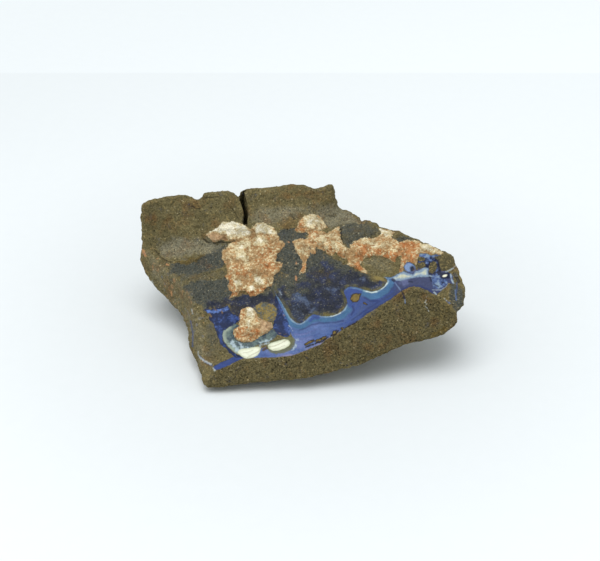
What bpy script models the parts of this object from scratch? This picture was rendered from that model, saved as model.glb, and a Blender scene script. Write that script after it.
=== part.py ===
"""A rough boulder opal: a broken wedge of ironstone with its seam in the sawn front.

Metres, +Z up. The stone is one solid. Its underside and side walls are a cage of stations round
it, its top is a terrain of break planes with lumps, ledges and a back ridge, and the solid is what
the two share. The front faces -Y. The stone is shaped a little off the origin and set down last:
the origin is under the middle of its box, on the surface it rests on.
"""

import math

import bmesh
import bpy
from mathutils import Matrix, Vector, noise

NODE = "boulder_opal"

# Round the stone: the widest line as (x, y, z), the edge of the patch it rests on as (x, y), and how
# far the side wall leans in over its first WALL_RISE above the widest line.
STATIONS = (
    ((-0.0252, -0.0286, 0.0006), (-0.0225, -0.0238), 0.0012),  # front left foot
    ((-0.0167, -0.0282, 0.0011), (-0.0160, -0.0225), 0.0),
    ((-0.0066, -0.0276, 0.0019), (-0.0085, -0.0190), 0.0),
    ((0.0052, -0.0268, 0.0027), (0.0000, -0.0148), 0.0),
    ((0.0170, -0.0243, 0.0051), (0.0080, -0.0090), 0.0),
    ((0.0286, -0.0211, 0.0090), (0.0130, -0.0040), 0.0),
    ((0.0386, -0.0191, 0.0108), (0.0150, -0.0010), 0.0),
    ((0.0427, -0.0171, 0.0132), (0.0155, 0.0005), 0.0),  # front right corner
    ((0.0422, -0.0150, 0.0150), (0.0158, 0.0018), 0.0),
    ((0.0438, -0.0132, 0.0160), (0.0160, 0.0030), 0.0002),
    ((0.0447, -0.0085, 0.0170), (0.0165, 0.0055), 0.0018),  # right end
    ((0.0432, -0.0020, 0.0160), (0.0168, 0.0075), 0.0020),
    ((0.0400, 0.0010, 0.0150), (0.0165, 0.0092), 0.0022),
    ((0.0365, 0.0041, 0.0150), (0.0160, 0.0105), 0.0025),
    ((0.0296, 0.0083, 0.0140), (0.0140, 0.0130), 0.0025),
    ((0.0204, 0.0141, 0.0130), (0.0110, 0.0152), 0.0025),
    ((0.0182, 0.0174, 0.0125), (0.0090, 0.0165), 0.0020),  # back right corner
    ((0.0130, 0.0222, 0.0120), (0.0060, 0.0180), 0.0020),
    ((-0.0030, 0.0270, 0.0120), (-0.0030, 0.0200), 0.0),
    ((-0.0200, 0.0275, 0.0130), (-0.0120, 0.0200), 0.0),
    ((-0.0360, 0.0260, 0.0150), (-0.0200, 0.0170), 0.0),  # back left corner
    ((-0.0424, 0.0215, 0.0160), (-0.0250, 0.0130), 0.0004),
    ((-0.0444, 0.0165, 0.0150), (-0.0262, 0.0100), 0.0014),
    ((-0.0456, 0.0130, 0.0140), (-0.0270, 0.0080), 0.0010),
    ((-0.0435, 0.0094, 0.0120), (-0.0275, 0.0050), 0.0020),
    ((-0.0400, 0.0058, 0.0100), (-0.0275, 0.0015), 0.0024),
    ((-0.0366, 0.0033, 0.0085), (-0.0270, -0.0020), 0.0022),
    ((-0.0346, 0.0001, 0.0070), (-0.0265, -0.0050), 0.0022),  # left waist
    ((-0.0327, -0.0033, 0.0050), (-0.0260, -0.0080), 0.0024),
    ((-0.0312, -0.0082, 0.0040), (-0.0256, -0.0115), 0.0028),
    ((-0.0305, -0.0142, 0.0030), (-0.0252, -0.0160), 0.0032),
    ((-0.0278, -0.0197, 0.0018), (-0.0246, -0.0210), 0.0030),
)
BILGE_OUT = 0.60  # where the underside is roundest, as a share of the way out to the widest line
BILGE_UP = 0.57  # and its height there, as a share of the way up to the widest line
FOOT_DROP = 0.0022  # how far the patch it rests on lies below z = 0, just under the lowest edge
WALL_RISE = 0.0080
WALL_TOP = 0.045

# Planes that bound the top, by three points on each.
BREAKS = {
    "sawn front": ((-0.0250, -0.0284, 0.0004), (0.0380, -0.0199, 0.0100), (0.0080, -0.0193, 0.0105)),
    "seam slope": ((-0.0230, -0.0240, 0.0042), (0.0380, -0.0120, 0.0195), (0.0044, 0.0038, 0.0253)),
    "left shelf": ((-0.0271, -0.0094, 0.0140), (-0.0306, 0.0052, 0.0186), (0.0000, 0.0080, 0.0262)),
    "plateau": ((0.0000, 0.0100, 0.0262), (0.0230, 0.0100, 0.0256), (0.0400, -0.0080, 0.0244)),
}
BREAK_ROUNDING = 0.0012

# The back ridge: its foot and its crest, from left to right, as (x, y) and (x, y, z).
RIDGE_FOOT = (
    (-0.0460, 0.0120),
    (-0.0310, 0.0095),
    (-0.0210, 0.0075),
    (-0.0100, 0.0085),
    (0.0020, 0.0100),
    (0.0110, 0.0165),
)
RIDGE_CREST = (
    (-0.0450, 0.0130, 0.0312),
    (-0.0424, 0.0134, 0.0338),
    (-0.0389, 0.0142, 0.0337),
    (-0.0342, 0.0152, 0.0344),
    (-0.0311, 0.0152, 0.0343),
    (-0.0292, 0.0150, 0.0328),
    (-0.0273, 0.0150, 0.0326),
    (-0.0268, 0.0155, 0.0347),
    (-0.0214, 0.0160, 0.0351),
    (-0.0195, 0.0160, 0.0350),
    (-0.0170, 0.0164, 0.0325),
    (-0.0166, 0.0174, 0.0345),
    (-0.0140, 0.0178, 0.0350),
    (-0.0075, 0.0185, 0.0350),
    (-0.0022, 0.0190, 0.0356),
    (0.0017, 0.0188, 0.0351),
    (0.0039, 0.0186, 0.0341),
    (0.0064, 0.0188, 0.0344),
    (0.0080, 0.0190, 0.0356),
    (0.0092, 0.0190, 0.0352),
)
RIDGE_END = (0.0101, 0.0008)  # where its right end stands, and how wide the drop there is
RIDGE_BACK_SLOPE = 0.62

# What stands proud of the top: how high, how wide its edge is, and its outline in plan.
LUMPS = {
    "clay plate": (
        0.0017,
        0.0009,
        (
            (-0.0263, 0.0107),
            (-0.0240, 0.0112),
            (-0.0216, 0.0119),
            (-0.0187, 0.0122),
            (-0.0162, 0.0122),
            (-0.0145, 0.0114),
            (-0.0128, 0.0098),
            (-0.0154, 0.0090),
            (-0.0196, 0.0092),
            (-0.0242, 0.0094),
        ),
    ),
    "clay knob": (
        0.0014,
        0.0018,
        (
            (-0.0129, 0.0110),
            (-0.0116, 0.0122),
            (-0.0098, 0.0120),
            (-0.0070, 0.0104),
            (-0.0060, 0.0090),
            (-0.0085, 0.0080),
            (-0.0120, 0.0088),
        ),
    ),
    "clay patch": (
        0.0009,
        0.0010,
        (
            (-0.0064, 0.0090),
            (-0.0042, 0.0048),
            (-0.0064, 0.0022),
            (-0.0054, -0.0022),
            (-0.0073, -0.0048),
            (-0.0102, -0.0068),
            (-0.0136, -0.0074),
            (-0.0163, -0.0058),
            (-0.0192, -0.0073),
            (-0.0196, -0.0042),
            (-0.0208, -0.0013),
            (-0.0204, 0.0020),
            (-0.0217, 0.0038),
            (-0.0204, 0.0075),
            (-0.0140, 0.0086),
        ),
    ),
    "round lump": (
        0.0023,
        0.0032,
        (
            (-0.0014, 0.0098),
            (0.0000, 0.0123),
            (0.0016, 0.0136),
            (0.0038, 0.0142),
            (0.0058, 0.0138),
            (0.0072, 0.0122),
            (0.0075, 0.0108),
            (0.0044, 0.0096),
            (0.0012, 0.0088),
        ),
    ),
    "clay tongue": (
        0.0007,
        0.0008,
        (
            (-0.0022, 0.0061),
            (0.0026, 0.0044),
            (0.0042, 0.0010),
            (0.0020, -0.0006),
            (0.0015, -0.0032),
            (0.0000, -0.0028),
            (0.0004, 0.0004),
        ),
    ),
    "dark block": (
        0.0018,
        0.0009,
        (
            (0.0112, 0.0122),
            (0.0137, 0.0142),
            (0.0165, 0.0133),
            (0.0189, 0.0134),
            (0.0214, 0.0119),
            (0.0224, 0.0085),
            (0.0204, 0.0062),
            (0.0162, 0.0047),
            (0.0133, 0.0016),
            (0.0109, 0.0058),
        ),
    ),
    "clay field": (
        0.0007,
        0.0010,
        (
            (0.0048, 0.0042),
            (0.0061, 0.0085),
            (0.0108, 0.0120),
            (0.0109, 0.0058),
            (0.0133, 0.0016),
            (0.0162, 0.0047),
            (0.0204, 0.0062),
            (0.0224, 0.0085),
            (0.0218, 0.0118),
            (0.0263, 0.0098),
            (0.0272, 0.0046),
            (0.0312, 0.0052),
            (0.0388, 0.0006),
            (0.0335, -0.0007),
            (0.0318, -0.0041),
            (0.0274, -0.0029),
            (0.0244, -0.0017),
            (0.0199, -0.0005),
            (0.0162, -0.0022),
            (0.0110, 0.0002),
        ),
    ),
    "right edge rock": (
        0.0011,
        0.0008,
        (
            (0.0256, 0.0102),
            (0.0300, 0.0080),
            (0.0345, 0.0048),
            (0.0316, 0.0046),
            (0.0270, 0.0044),
        ),
    ),
    "upper rock": (
        0.0009,
        0.0014,
        (
            (0.0085, 0.0215),
            (0.0090, 0.0150),
            (0.0125, 0.0152),
            (0.0172, 0.0150),
            (0.0190, 0.0200),
        ),
    ),
    "right end cap": (
        0.0009,
        0.0012,
        (
            (0.0360, -0.0025),
            (0.0388, 0.0008),
            (0.0420, -0.0006),
            (0.0432, -0.0040),
            (0.0410, -0.0065),
            (0.0376, -0.0060),
        ),
    ),
    "lower clay": (
        0.0010,
        0.0014,
        (
            (-0.0158, -0.0106),
            (-0.0130, -0.0104),
            (-0.0112, -0.0128),
            (-0.0075, -0.0148),
            (-0.0076, -0.0164),
            (-0.0106, -0.0179),
            (-0.0149, -0.0190),
            (-0.0178, -0.0176),
            (-0.0178, -0.0160),
            (-0.0162, -0.0136),
        ),
    ),
}

# Ledges on the left shelf: how deep the drop at their front is, and their line from left to right.
LEDGES = {
    "upper ledge": (0.0013, ((-0.0380, 0.0064), (-0.0317, 0.0052), (-0.0267, 0.0058), (-0.0215, 0.0056))),
    "lower ledge": (0.0009, ((-0.0350, 0.0002), (-0.0300, -0.0012), (-0.0261, -0.0020), (-0.0205, -0.0026))),
}
LEDGE_EDGE = 0.0008
LEDGE_REACH = 0.0060

# The groove where the top breaks away behind the front slope: its line, half its width and its depth.
GROOVE_LINE = ((0.0060, 0.0030), (0.0090, 0.0006), (0.0112, -0.0004), (0.0131, -0.0014), (0.0150, -0.0032))
GROOVE_HALF_WIDTH = 0.0011
GROOVE_DEPTH = 0.0010

GRID_STEP = 0.0008

# The open crack through the ridge: its line in plan, its width and the height of its floor.
CRACK_LINE = ((-0.0153, 0.0112), (-0.0151, 0.0142), (-0.0164, 0.0172), (-0.0140, 0.0195), (-0.0128, 0.0240), (-0.0150, 0.0310))
CRACK_WIDTH = 0.0013
CRACK_FLOOR = 0.0235

# Flat breaks across the back and the underside: a point on each and the direction it faces.
CHIPS = {
    "back left corner": ((-0.0385, 0.0235, 0.0200), (-0.60, 0.78, 0.15)),
    "upper back": ((-0.0150, 0.0268, 0.0270), (0.02, 0.84, 0.54)),
    "back right corner": ((0.0080, 0.0235, 0.0180), (0.45, 0.87, -0.10)),
    "lower back": ((-0.0180, 0.0262, 0.0105), (0.12, 0.72, -0.68)),
    "lower right": ((0.0330, 0.0060, 0.0125), (0.42, 0.40, -0.80)),
}

SWELLS = ((0.00045, 90.0), (0.00035, 240.0), (0.00022, 620.0))  # how far the surface moves, and how often
VOXEL = 0.0006
TRIANGLES = 9600
REST_CUT = 0.0004


def clear_scene():
    for obj in list(bpy.data.objects):
        bpy.data.objects.remove(obj)


def along(points, x, column):
    """The value of a column of points at x, in straight runs between them."""
    if x <= points[0][0]:
        return points[0][column]
    for before, after in zip(points, points[1:]):
        if x <= after[0]:
            share = (x - before[0]) / (after[0] - before[0])
            return before[column] + share * (after[column] - before[column])
    return points[-1][column]


def smooth_min(a, b, radius):
    blend = max(radius - abs(a - b), 0.0) / radius
    return min(a, b) - blend * blend * radius / 4


def smooth_step(value):
    value = min(max(value, 0.0), 1.0)
    return value * value * (3 - 2 * value)


def break_height(corners, x, y):
    """The height at (x, y) of the plane through three points."""
    first, second, third = (Vector(corner) for corner in corners)
    normal = (second - first).cross(third - first)
    return first.z - (normal.x * (x - first.x) + normal.y * (y - first.y)) / normal.z


def base_height(x, y):
    height = WALL_TOP
    for plane in BREAKS.values():
        height = smooth_min(height, break_height(plane, x, y), BREAK_ROUNDING)
    return height


def ridge_rise(x, y, base):
    """How far the ridge stands above the base at (x, y)."""
    foot = along(RIDGE_FOOT, x, 1)
    crest_y = along(RIDGE_CREST, x, 1)
    crest_z = along(RIDGE_CREST, x, 2) - max(y - crest_y, 0.0) * RIDGE_BACK_SLOPE
    up = min(max((y - foot) / (crest_y - foot), 0.0), 1.0)
    end, width = RIDGE_END
    inside = smooth_step((end - x) / width + 0.5)
    return max(crest_z - base, 0.0) * inside * (0.65 * up * up + 0.35 * up)


def distance_to_run(place, start, end):
    """How far a place in plan is from the straight run between two others."""
    run = end - start
    share = min(max((place - start).dot(run) / run.length_squared, 0.0), 1.0)
    return (place - start - run * share).length


def depth_inside(place, outline):
    """How far inside a closed outline a place is; less than 0 outside."""
    corners = [Vector(corner) for corner in outline]
    nearest = math.inf
    inside = False
    for start, end in zip(corners, corners[1:] + corners[:1]):
        nearest = min(nearest, distance_to_run(place, start, end))
        if (start.y > place.y) != (end.y > place.y):
            crossing = start.x + (place.y - start.y) * (end.x - start.x) / (end.y - start.y)
            inside = inside != (place.x < crossing)
    return nearest if inside else -nearest


def lump_rise(place):
    rises = [0.0]
    for height, edge, outline in LUMPS.values():
        rises.append(height * smooth_step(depth_inside(place, outline) / edge + 0.3))
    return max(rises)


def ledge_drop(place):
    """The drop in front of each ledge, fading out forwards and towards its right end."""
    drop = 0.0
    for depth, line in LEDGES.values():
        ahead = along(line, place.x, 1) - place.y
        step = smooth_step(ahead / LEDGE_EDGE + 0.5)
        forwards = 1 - smooth_step(ahead / LEDGE_REACH)
        right = smooth_step((line[-1][0] - place.x) / LEDGE_REACH)
        drop += depth * step * forwards * right
    return drop


def groove_drop(place):
    points = [Vector(point) for point in GROOVE_LINE]
    nearest = min(distance_to_run(place, start, end) for start, end in zip(points, points[1:]))
    return GROOVE_DEPTH * smooth_step(1 - nearest / GROOVE_HALF_WIDTH)


def top_height(x, y):
    place = Vector((x, y))
    base = base_height(x, y)
    detail = lump_rise(place) - ledge_drop(place) - groove_drop(place)
    return base + ridge_rise(x, y, base) + detail


def object_of(name, bm):
    bmesh.ops.recalc_face_normals(bm, faces=bm.faces)
    mesh = bpy.data.meshes.new(name)
    bm.to_mesh(mesh)
    bm.free()
    obj = bpy.data.objects.new(name, mesh)
    bpy.context.scene.collection.objects.link(obj)
    return obj


def boulder_cage():
    """The underside and the side walls: loops round the stone, from its foot to the wall's top."""
    bm = bmesh.new()
    loops = [[], [], [], [], []]
    for widest, foot, lean in STATIONS:
        widest = Vector(widest)
        foot = Vector((*foot, -FOOT_DROP))
        out = Vector((widest.x - foot.x, widest.y - foot.y, 0))
        bilge = foot + out * BILGE_OUT + Vector((0, 0, (widest.z - foot.z) * BILGE_UP))
        shoulder = widest - out.normalized() * lean + Vector((0, 0, WALL_RISE))
        top = Vector((shoulder.x, shoulder.y, WALL_TOP))
        for loop, place in zip(loops, (foot, bilge, widest, shoulder, top)):
            loop.append(bm.verts.new(place))
    count = len(STATIONS)
    for low, high in zip(loops, loops[1:]):
        for i in range(count):
            j = (i + 1) % count
            bm.faces.new((low[i], low[j], high[j], high[i]))
    bm.faces.new(reversed(loops[0]))
    bm.faces.new(loops[-1])
    bmesh.ops.triangulate(bm, faces=bm.faces)
    return object_of("boulder_cage", bm)


def terrain():
    """A solid under the stone's top surface, larger in plan than the stone."""
    half_x, half_y, floor = 0.050, 0.034, -0.010
    columns, rows = round(2 * half_x / GRID_STEP), round(2 * half_y / GRID_STEP)
    bm = bmesh.new()
    bmesh.ops.create_grid(bm, x_segments=columns, y_segments=rows, size=1)
    for vert in bm.verts:
        vert.co.x *= half_x
        vert.co.y *= half_y
        vert.co.z = max(top_height(vert.co.x, vert.co.y), floor / 2)
    rim = [edge for edge in bm.edges if edge.is_boundary]
    skirt = bmesh.ops.extrude_edge_only(bm, edges=rim)["geom"]
    for vert in (item for item in skirt if isinstance(item, bmesh.types.BMVert)):
        vert.co.z = floor
    bmesh.ops.contextual_create(bm, geom=[edge for edge in bm.edges if edge.is_boundary])
    bmesh.ops.triangulate(bm, faces=bm.faces)
    return object_of("terrain", bm)


def crack_cutter():
    """A thin upright blade that follows the crack's line."""
    bm = bmesh.new()
    sides = []
    for shift in (-CRACK_WIDTH / 2, CRACK_WIDTH / 2):
        sides.append([bm.verts.new((x + shift, y, CRACK_FLOOR)) for x, y in CRACK_LINE])
    floor = bm.faces.new(sides[0] + sides[1][::-1])
    raised = bmesh.ops.extrude_face_region(bm, geom=[floor])["geom"]
    for vert in (item for item in raised if isinstance(item, bmesh.types.BMVert)):
        vert.co.z = WALL_TOP
    bmesh.ops.triangulate(bm, faces=bm.faces)
    return object_of("crack_cutter", bm)


def combine(obj, other, operation):
    """Applies one Boolean to obj and removes the other object."""
    modifier = obj.modifiers.new(operation, "BOOLEAN")
    modifier.operation = operation
    modifier.object = other
    modifier.solver = "EXACT"
    apply_modifiers(obj)
    bpy.data.objects.remove(other)


def apply_modifiers(obj):
    bpy.context.view_layer.update()
    evaluated = obj.evaluated_get(bpy.context.evaluated_depsgraph_get())
    mesh = bpy.data.meshes.new_from_object(evaluated)
    obj.modifiers.clear()
    obj.data = mesh


def remesh(obj, size):
    modifier = obj.modifiers.new("Remesh", "REMESH")
    modifier.mode = "VOXEL"
    modifier.voxel_size = size
    apply_modifiers(obj)


def beyond(point, facing):
    """A large block that fills the side of a plane its direction faces."""
    half = 0.2
    bm = bmesh.new()
    turn = Vector(facing).to_track_quat("Z", "Y").to_matrix().to_4x4()
    move = Matrix.Translation(Vector(point)) @ turn @ Matrix.Translation((0, 0, half))
    bmesh.ops.create_cube(bm, size=2 * half, matrix=move)
    bmesh.ops.triangulate(bm, faces=bm.faces)
    return object_of("beyond", bm)


def roughen(obj):
    """Moves the surface in and out: the breaks are uneven, the sawn front less so, the back more."""
    mesh = obj.data
    moved = []
    for vert in mesh.vertices:
        sawn = smooth_step((-vert.normal.y - 0.45) / 0.20) * smooth_step((0.026 - vert.co.z) / 0.004)
        back = smooth_step((vert.co.y - 0.019) / 0.004)
        under = smooth_step((-vert.normal.z - 0.10) / 0.30) * smooth_step((vert.co.y + 0.018) / 0.008)
        shift = 0.0010 * max(back, under) * noise.noise(vert.co * 75)
        for size, pitch in SWELLS:
            shift += size * (1 - 0.6 * sawn) * noise.noise(vert.co * pitch)
        moved.append(vert.co + vert.normal * shift * smooth_step((vert.co.z + FOOT_DROP) / 0.0030))
    for vert, place in zip(mesh.vertices, moved):
        vert.co = place


def thin_out(obj, triangles):
    modifier = obj.modifiers.new("Triangulate", "TRIANGULATE")
    apply_modifiers(obj)
    modifier = obj.modifiers.new("Decimate", "DECIMATE")
    modifier.ratio = triangles / len(obj.data.polygons)
    apply_modifiers(obj)


def set_down(obj):
    """Moves the stone so that the middle of its box is over the origin and its rest face is on z = 0."""
    places = [vert.co for vert in obj.data.vertices]
    low = Vector([min(place[axis] for place in places) for axis in range(3)])
    high = Vector([max(place[axis] for place in places) for axis in range(3)])
    middle = (low + high) / 2
    shift = Vector((middle.x, middle.y, low.z))
    for vert in obj.data.vertices:
        vert.co = vert.co - shift


def ironstone():
    material = bpy.data.materials.new("ironstone")
    material.use_nodes = True
    shader = material.node_tree.nodes["Principled BSDF"]
    shader.inputs["Base Color"].default_value = (0.11, 0.085, 0.045, 1)
    shader.inputs["Roughness"].default_value = 0.75
    shader.inputs["Metallic"].default_value = 0.0
    return material


def main():
    clear_scene()
    stone = boulder_cage()
    combine(stone, terrain(), "INTERSECT")
    for point, facing in CHIPS.values():
        combine(stone, beyond(point, facing), "DIFFERENCE")
    remesh(stone, VOXEL)
    roughen(stone)
    thin_out(stone, TRIANGLES)
    combine(stone, crack_cutter(), "DIFFERENCE")
    combine(stone, beyond((0, 0, REST_CUT - FOOT_DROP), (0, 0, -1)), "DIFFERENCE")
    set_down(stone)
    stone.name = NODE
    stone.data.name = NODE
    stone.data.materials.clear()
    stone.data.materials.append(ironstone())


main()
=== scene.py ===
"""Visual model of a rough boulder opal: dark ironstone that holds a blue opal seam under a crust of baked clay.

The stone is one piece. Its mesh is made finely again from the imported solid, weathered in code, and given
fields that say how deep each point lies inside a marking. One layered material reads them.
"""
import logging
import math
from dataclasses import dataclass, field
from enum import Enum
from typing import ClassVar, Protocol

import bpy
import numpy as np
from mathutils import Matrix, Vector, noise
from mathutils.bvhtree import BVHTree


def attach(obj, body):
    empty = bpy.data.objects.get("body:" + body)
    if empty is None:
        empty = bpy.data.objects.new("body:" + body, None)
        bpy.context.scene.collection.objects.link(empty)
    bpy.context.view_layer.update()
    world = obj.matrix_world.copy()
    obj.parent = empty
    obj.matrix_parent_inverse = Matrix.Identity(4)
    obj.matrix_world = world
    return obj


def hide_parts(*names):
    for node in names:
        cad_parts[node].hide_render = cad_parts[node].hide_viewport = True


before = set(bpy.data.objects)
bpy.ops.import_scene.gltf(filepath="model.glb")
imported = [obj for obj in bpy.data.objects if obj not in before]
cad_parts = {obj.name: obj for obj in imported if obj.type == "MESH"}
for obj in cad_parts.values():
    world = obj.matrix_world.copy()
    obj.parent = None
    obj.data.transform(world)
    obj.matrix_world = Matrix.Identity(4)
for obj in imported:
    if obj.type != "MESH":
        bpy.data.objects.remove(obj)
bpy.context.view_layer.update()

MM = 0.001
NODE = "boulder_opal"
BODY = "root"
NOISE_SEED = 7

Point = tuple[float, float]
Place = tuple[float, float, float]
Colour = tuple[float, float, float]
Line = tuple[Point, ...]
Stroke = tuple[float, Line]
Stain = tuple[float, float, Line]
Lines = tuple[Line, ...]
Strokes = tuple[Stroke, ...]
Stains = tuple[Stain, ...]

log = logging.getLogger("boulder_opal")


def rgb(red: float, green: float, blue: float) -> Colour:
    """Turns a display colour into the linear colour that a shader takes.

    Args:
        red: Red from 0 to 255.
        green: Green from 0 to 255.
        blue: Blue from 0 to 255.

    Returns:
        The linear colour.
    """
    parts = (value / 255.0 for value in (red, green, blue))
    # the display's standard curve: straight near black, a power above it
    return tuple(p / 12.92 if p <= 0.04045 else ((p + 0.055) / 1.055) ** 2.4 for p in parts)


def line(*numbers: float) -> Line:
    """Pairs numbers, across and down in turn, into the points of a drawn line."""
    return tuple(zip(numbers[::2], numbers[1::2]))


def stroke(half: float, *numbers: float) -> Stroke:
    """Makes a brush stroke: half its width, then its points."""
    return half, line(*numbers)


def stain(strength: float, soft: float, *numbers: float) -> Stain:
    """Makes a soft stain: its strength, the width of its soft edge, then its outline."""
    return strength, soft, line(*numbers)


def ease(values: np.ndarray, start: float, end: float) -> np.ndarray:
    """Rises smoothly from 0 at start to 1 at end.

    Args:
        values: What is eased.
        start: Where the rise begins.
        end: Where it is complete.

    Returns:
        Weights from 0 to 1.
    """
    t = np.clip((values - start) / (end - start), 0.0, 1.0)
    return t * t * (3.0 - 2.0 * t)


def distance(places: np.ndarray, drawn: Line, closed: bool = False) -> np.ndarray:
    """Measures how far each place is from a drawn line.

    Args:
        places: One row (across, down) a place.
        drawn: The points of the line.
        closed: Whether the last point joins the first.

    Returns:
        The distances.
    """
    corners = np.array(drawn + (drawn[:1] if closed else ()), dtype=float)
    nearest = np.full(len(places), np.inf)
    for start, end in zip(corners[:-1], corners[1:]):
        run = end - start
        along = np.clip((places - start) @ run / max(run @ run, 1e-9), 0.0, 1.0)
        gap = places - start - along[:, None] * run
        nearest = np.minimum(nearest, np.hypot(gap[:, 0], gap[:, 1]))
    return nearest


def enclosed(places: np.ndarray, outline: Line) -> np.ndarray:
    """Says which places lie inside a closed outline.

    Args:
        places: One row (across, down) a place.
        outline: The corners of the outline.

    Returns:
        One truth value a place.
    """
    inside = np.zeros(len(places), dtype=bool)
    x, y = places[:, 0], places[:, 1]
    for (ax, ay), (bx, by) in zip(outline, outline[1:] + outline[:1]):
        if ay != by:
            crosses = (ay > y) != (by > y)
            inside ^= crosses & (x < (bx - ax) * (y - ay) / (by - ay) + ax)
    return inside


def depth(places: np.ndarray, outline: Line) -> np.ndarray:
    """Measures how deep each place lies inside an outline; outside it the depth is negative."""
    return distance(places, outline, closed=True) * np.where(enclosed(places, outline), 1.0, -1.0)


def rounded(drawn: Line, closed: bool = False) -> Line:
    """Cuts the corners of a drawn line twice, which leaves it smoothly curved.

    Args:
        drawn: The points of the line.
        closed: Whether the last point joins the first.

    Returns:
        The smoother line.
    """
    for _ in range(2):
        after = drawn[1:] + drawn[:1] if closed else drawn[1:]
        cut = tuple((p[0] + (q[0] - p[0]) * share, p[1] + (q[1] - p[1]) * share)
                    for p, q in zip(drawn, after) for share in (0.25, 0.75))
        drawn = cut if closed else drawn[:1] + cut[1:-1] + drawn[-1:]
    return drawn


def turbulence(points: np.ndarray, size: float, octaves: int, shift: float) -> np.ndarray:
    """Samples fractal noise over a surface.

    Args:
        points: Points in metres.
        size: Width of the largest lumps in metres.
        octaves: How many finer layers it has.
        shift: Moves the pattern, so that two layers differ.

    Returns:
        Noise of about -1 to 1.
    """
    return np.array([noise.fractal(p, 0.9, 2.1, octaves) for p in (points / size + shift).tolist()])


# ---------------------------------------------------------------- shader maths


class Wire:
    """A value in a node tree. Arithmetic on it adds Math nodes."""

    def __init__(self, graph: "Graph", socket: bpy.types.NodeSocket) -> None:
        """Keeps the graph and the socket."""
        self.graph = graph
        self.socket = socket

    def _math(self, operation: str, *values: "Wire | float") -> "Wire":
        """Adds one Math node on these values."""
        return self.graph.node("ShaderNodeMath", {"operation": operation}, dict(enumerate(values)))

    def __add__(self, other: "Wire | float") -> "Wire":
        """Adds."""
        return self._math("ADD", self, other)

    def __sub__(self, other: "Wire | float") -> "Wire":
        """Subtracts."""
        return self._math("SUBTRACT", self, other)

    def __rsub__(self, other: float) -> "Wire":
        """Subtracts this from a number."""
        return self._math("SUBTRACT", other, self)

    def __mul__(self, other: "Wire | float") -> "Wire":
        """Multiplies."""
        return self._math("MULTIPLY", self, other)

    def __abs__(self) -> "Wire":
        """Takes the size without the sign."""
        return self._math("ABSOLUTE", self)

    __radd__ = __add__
    __rmul__ = __mul__

    def most(self, other: "Wire | float") -> "Wire":
        """Takes the greater of two values."""
        return self._math("MAXIMUM", self, other)

    def rise(self, start: float, end: float) -> "Wire":
        """Goes smoothly from 0 at start to 1 at end.

        Args:
            start: Value at which the rise begins.
            end: Value at which it is complete.

        Returns:
            The eased value.
        """
        settings = {"interpolation_type": "SMOOTHSTEP"}
        return self.graph.node("ShaderNodeMapRange", settings, {0: self, 1: start, 2: end, 3: 0.0, 4: 1.0})

    def fall(self, start: float, end: float) -> "Wire":
        """Goes smoothly from 1 at start to 0 at end."""
        return 1.0 - self.rise(start, end)

    def sway(self, reach: float) -> "Wire":
        """Swings noise about zero, by half of reach either way."""
        return (self - 0.5) * reach

    def near(self, centre: float, core: float, reach: float) -> "Wire":
        """Is 1 within core of a centre, and 0 beyond reach."""
        return abs(self - centre).fall(core, reach)


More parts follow.
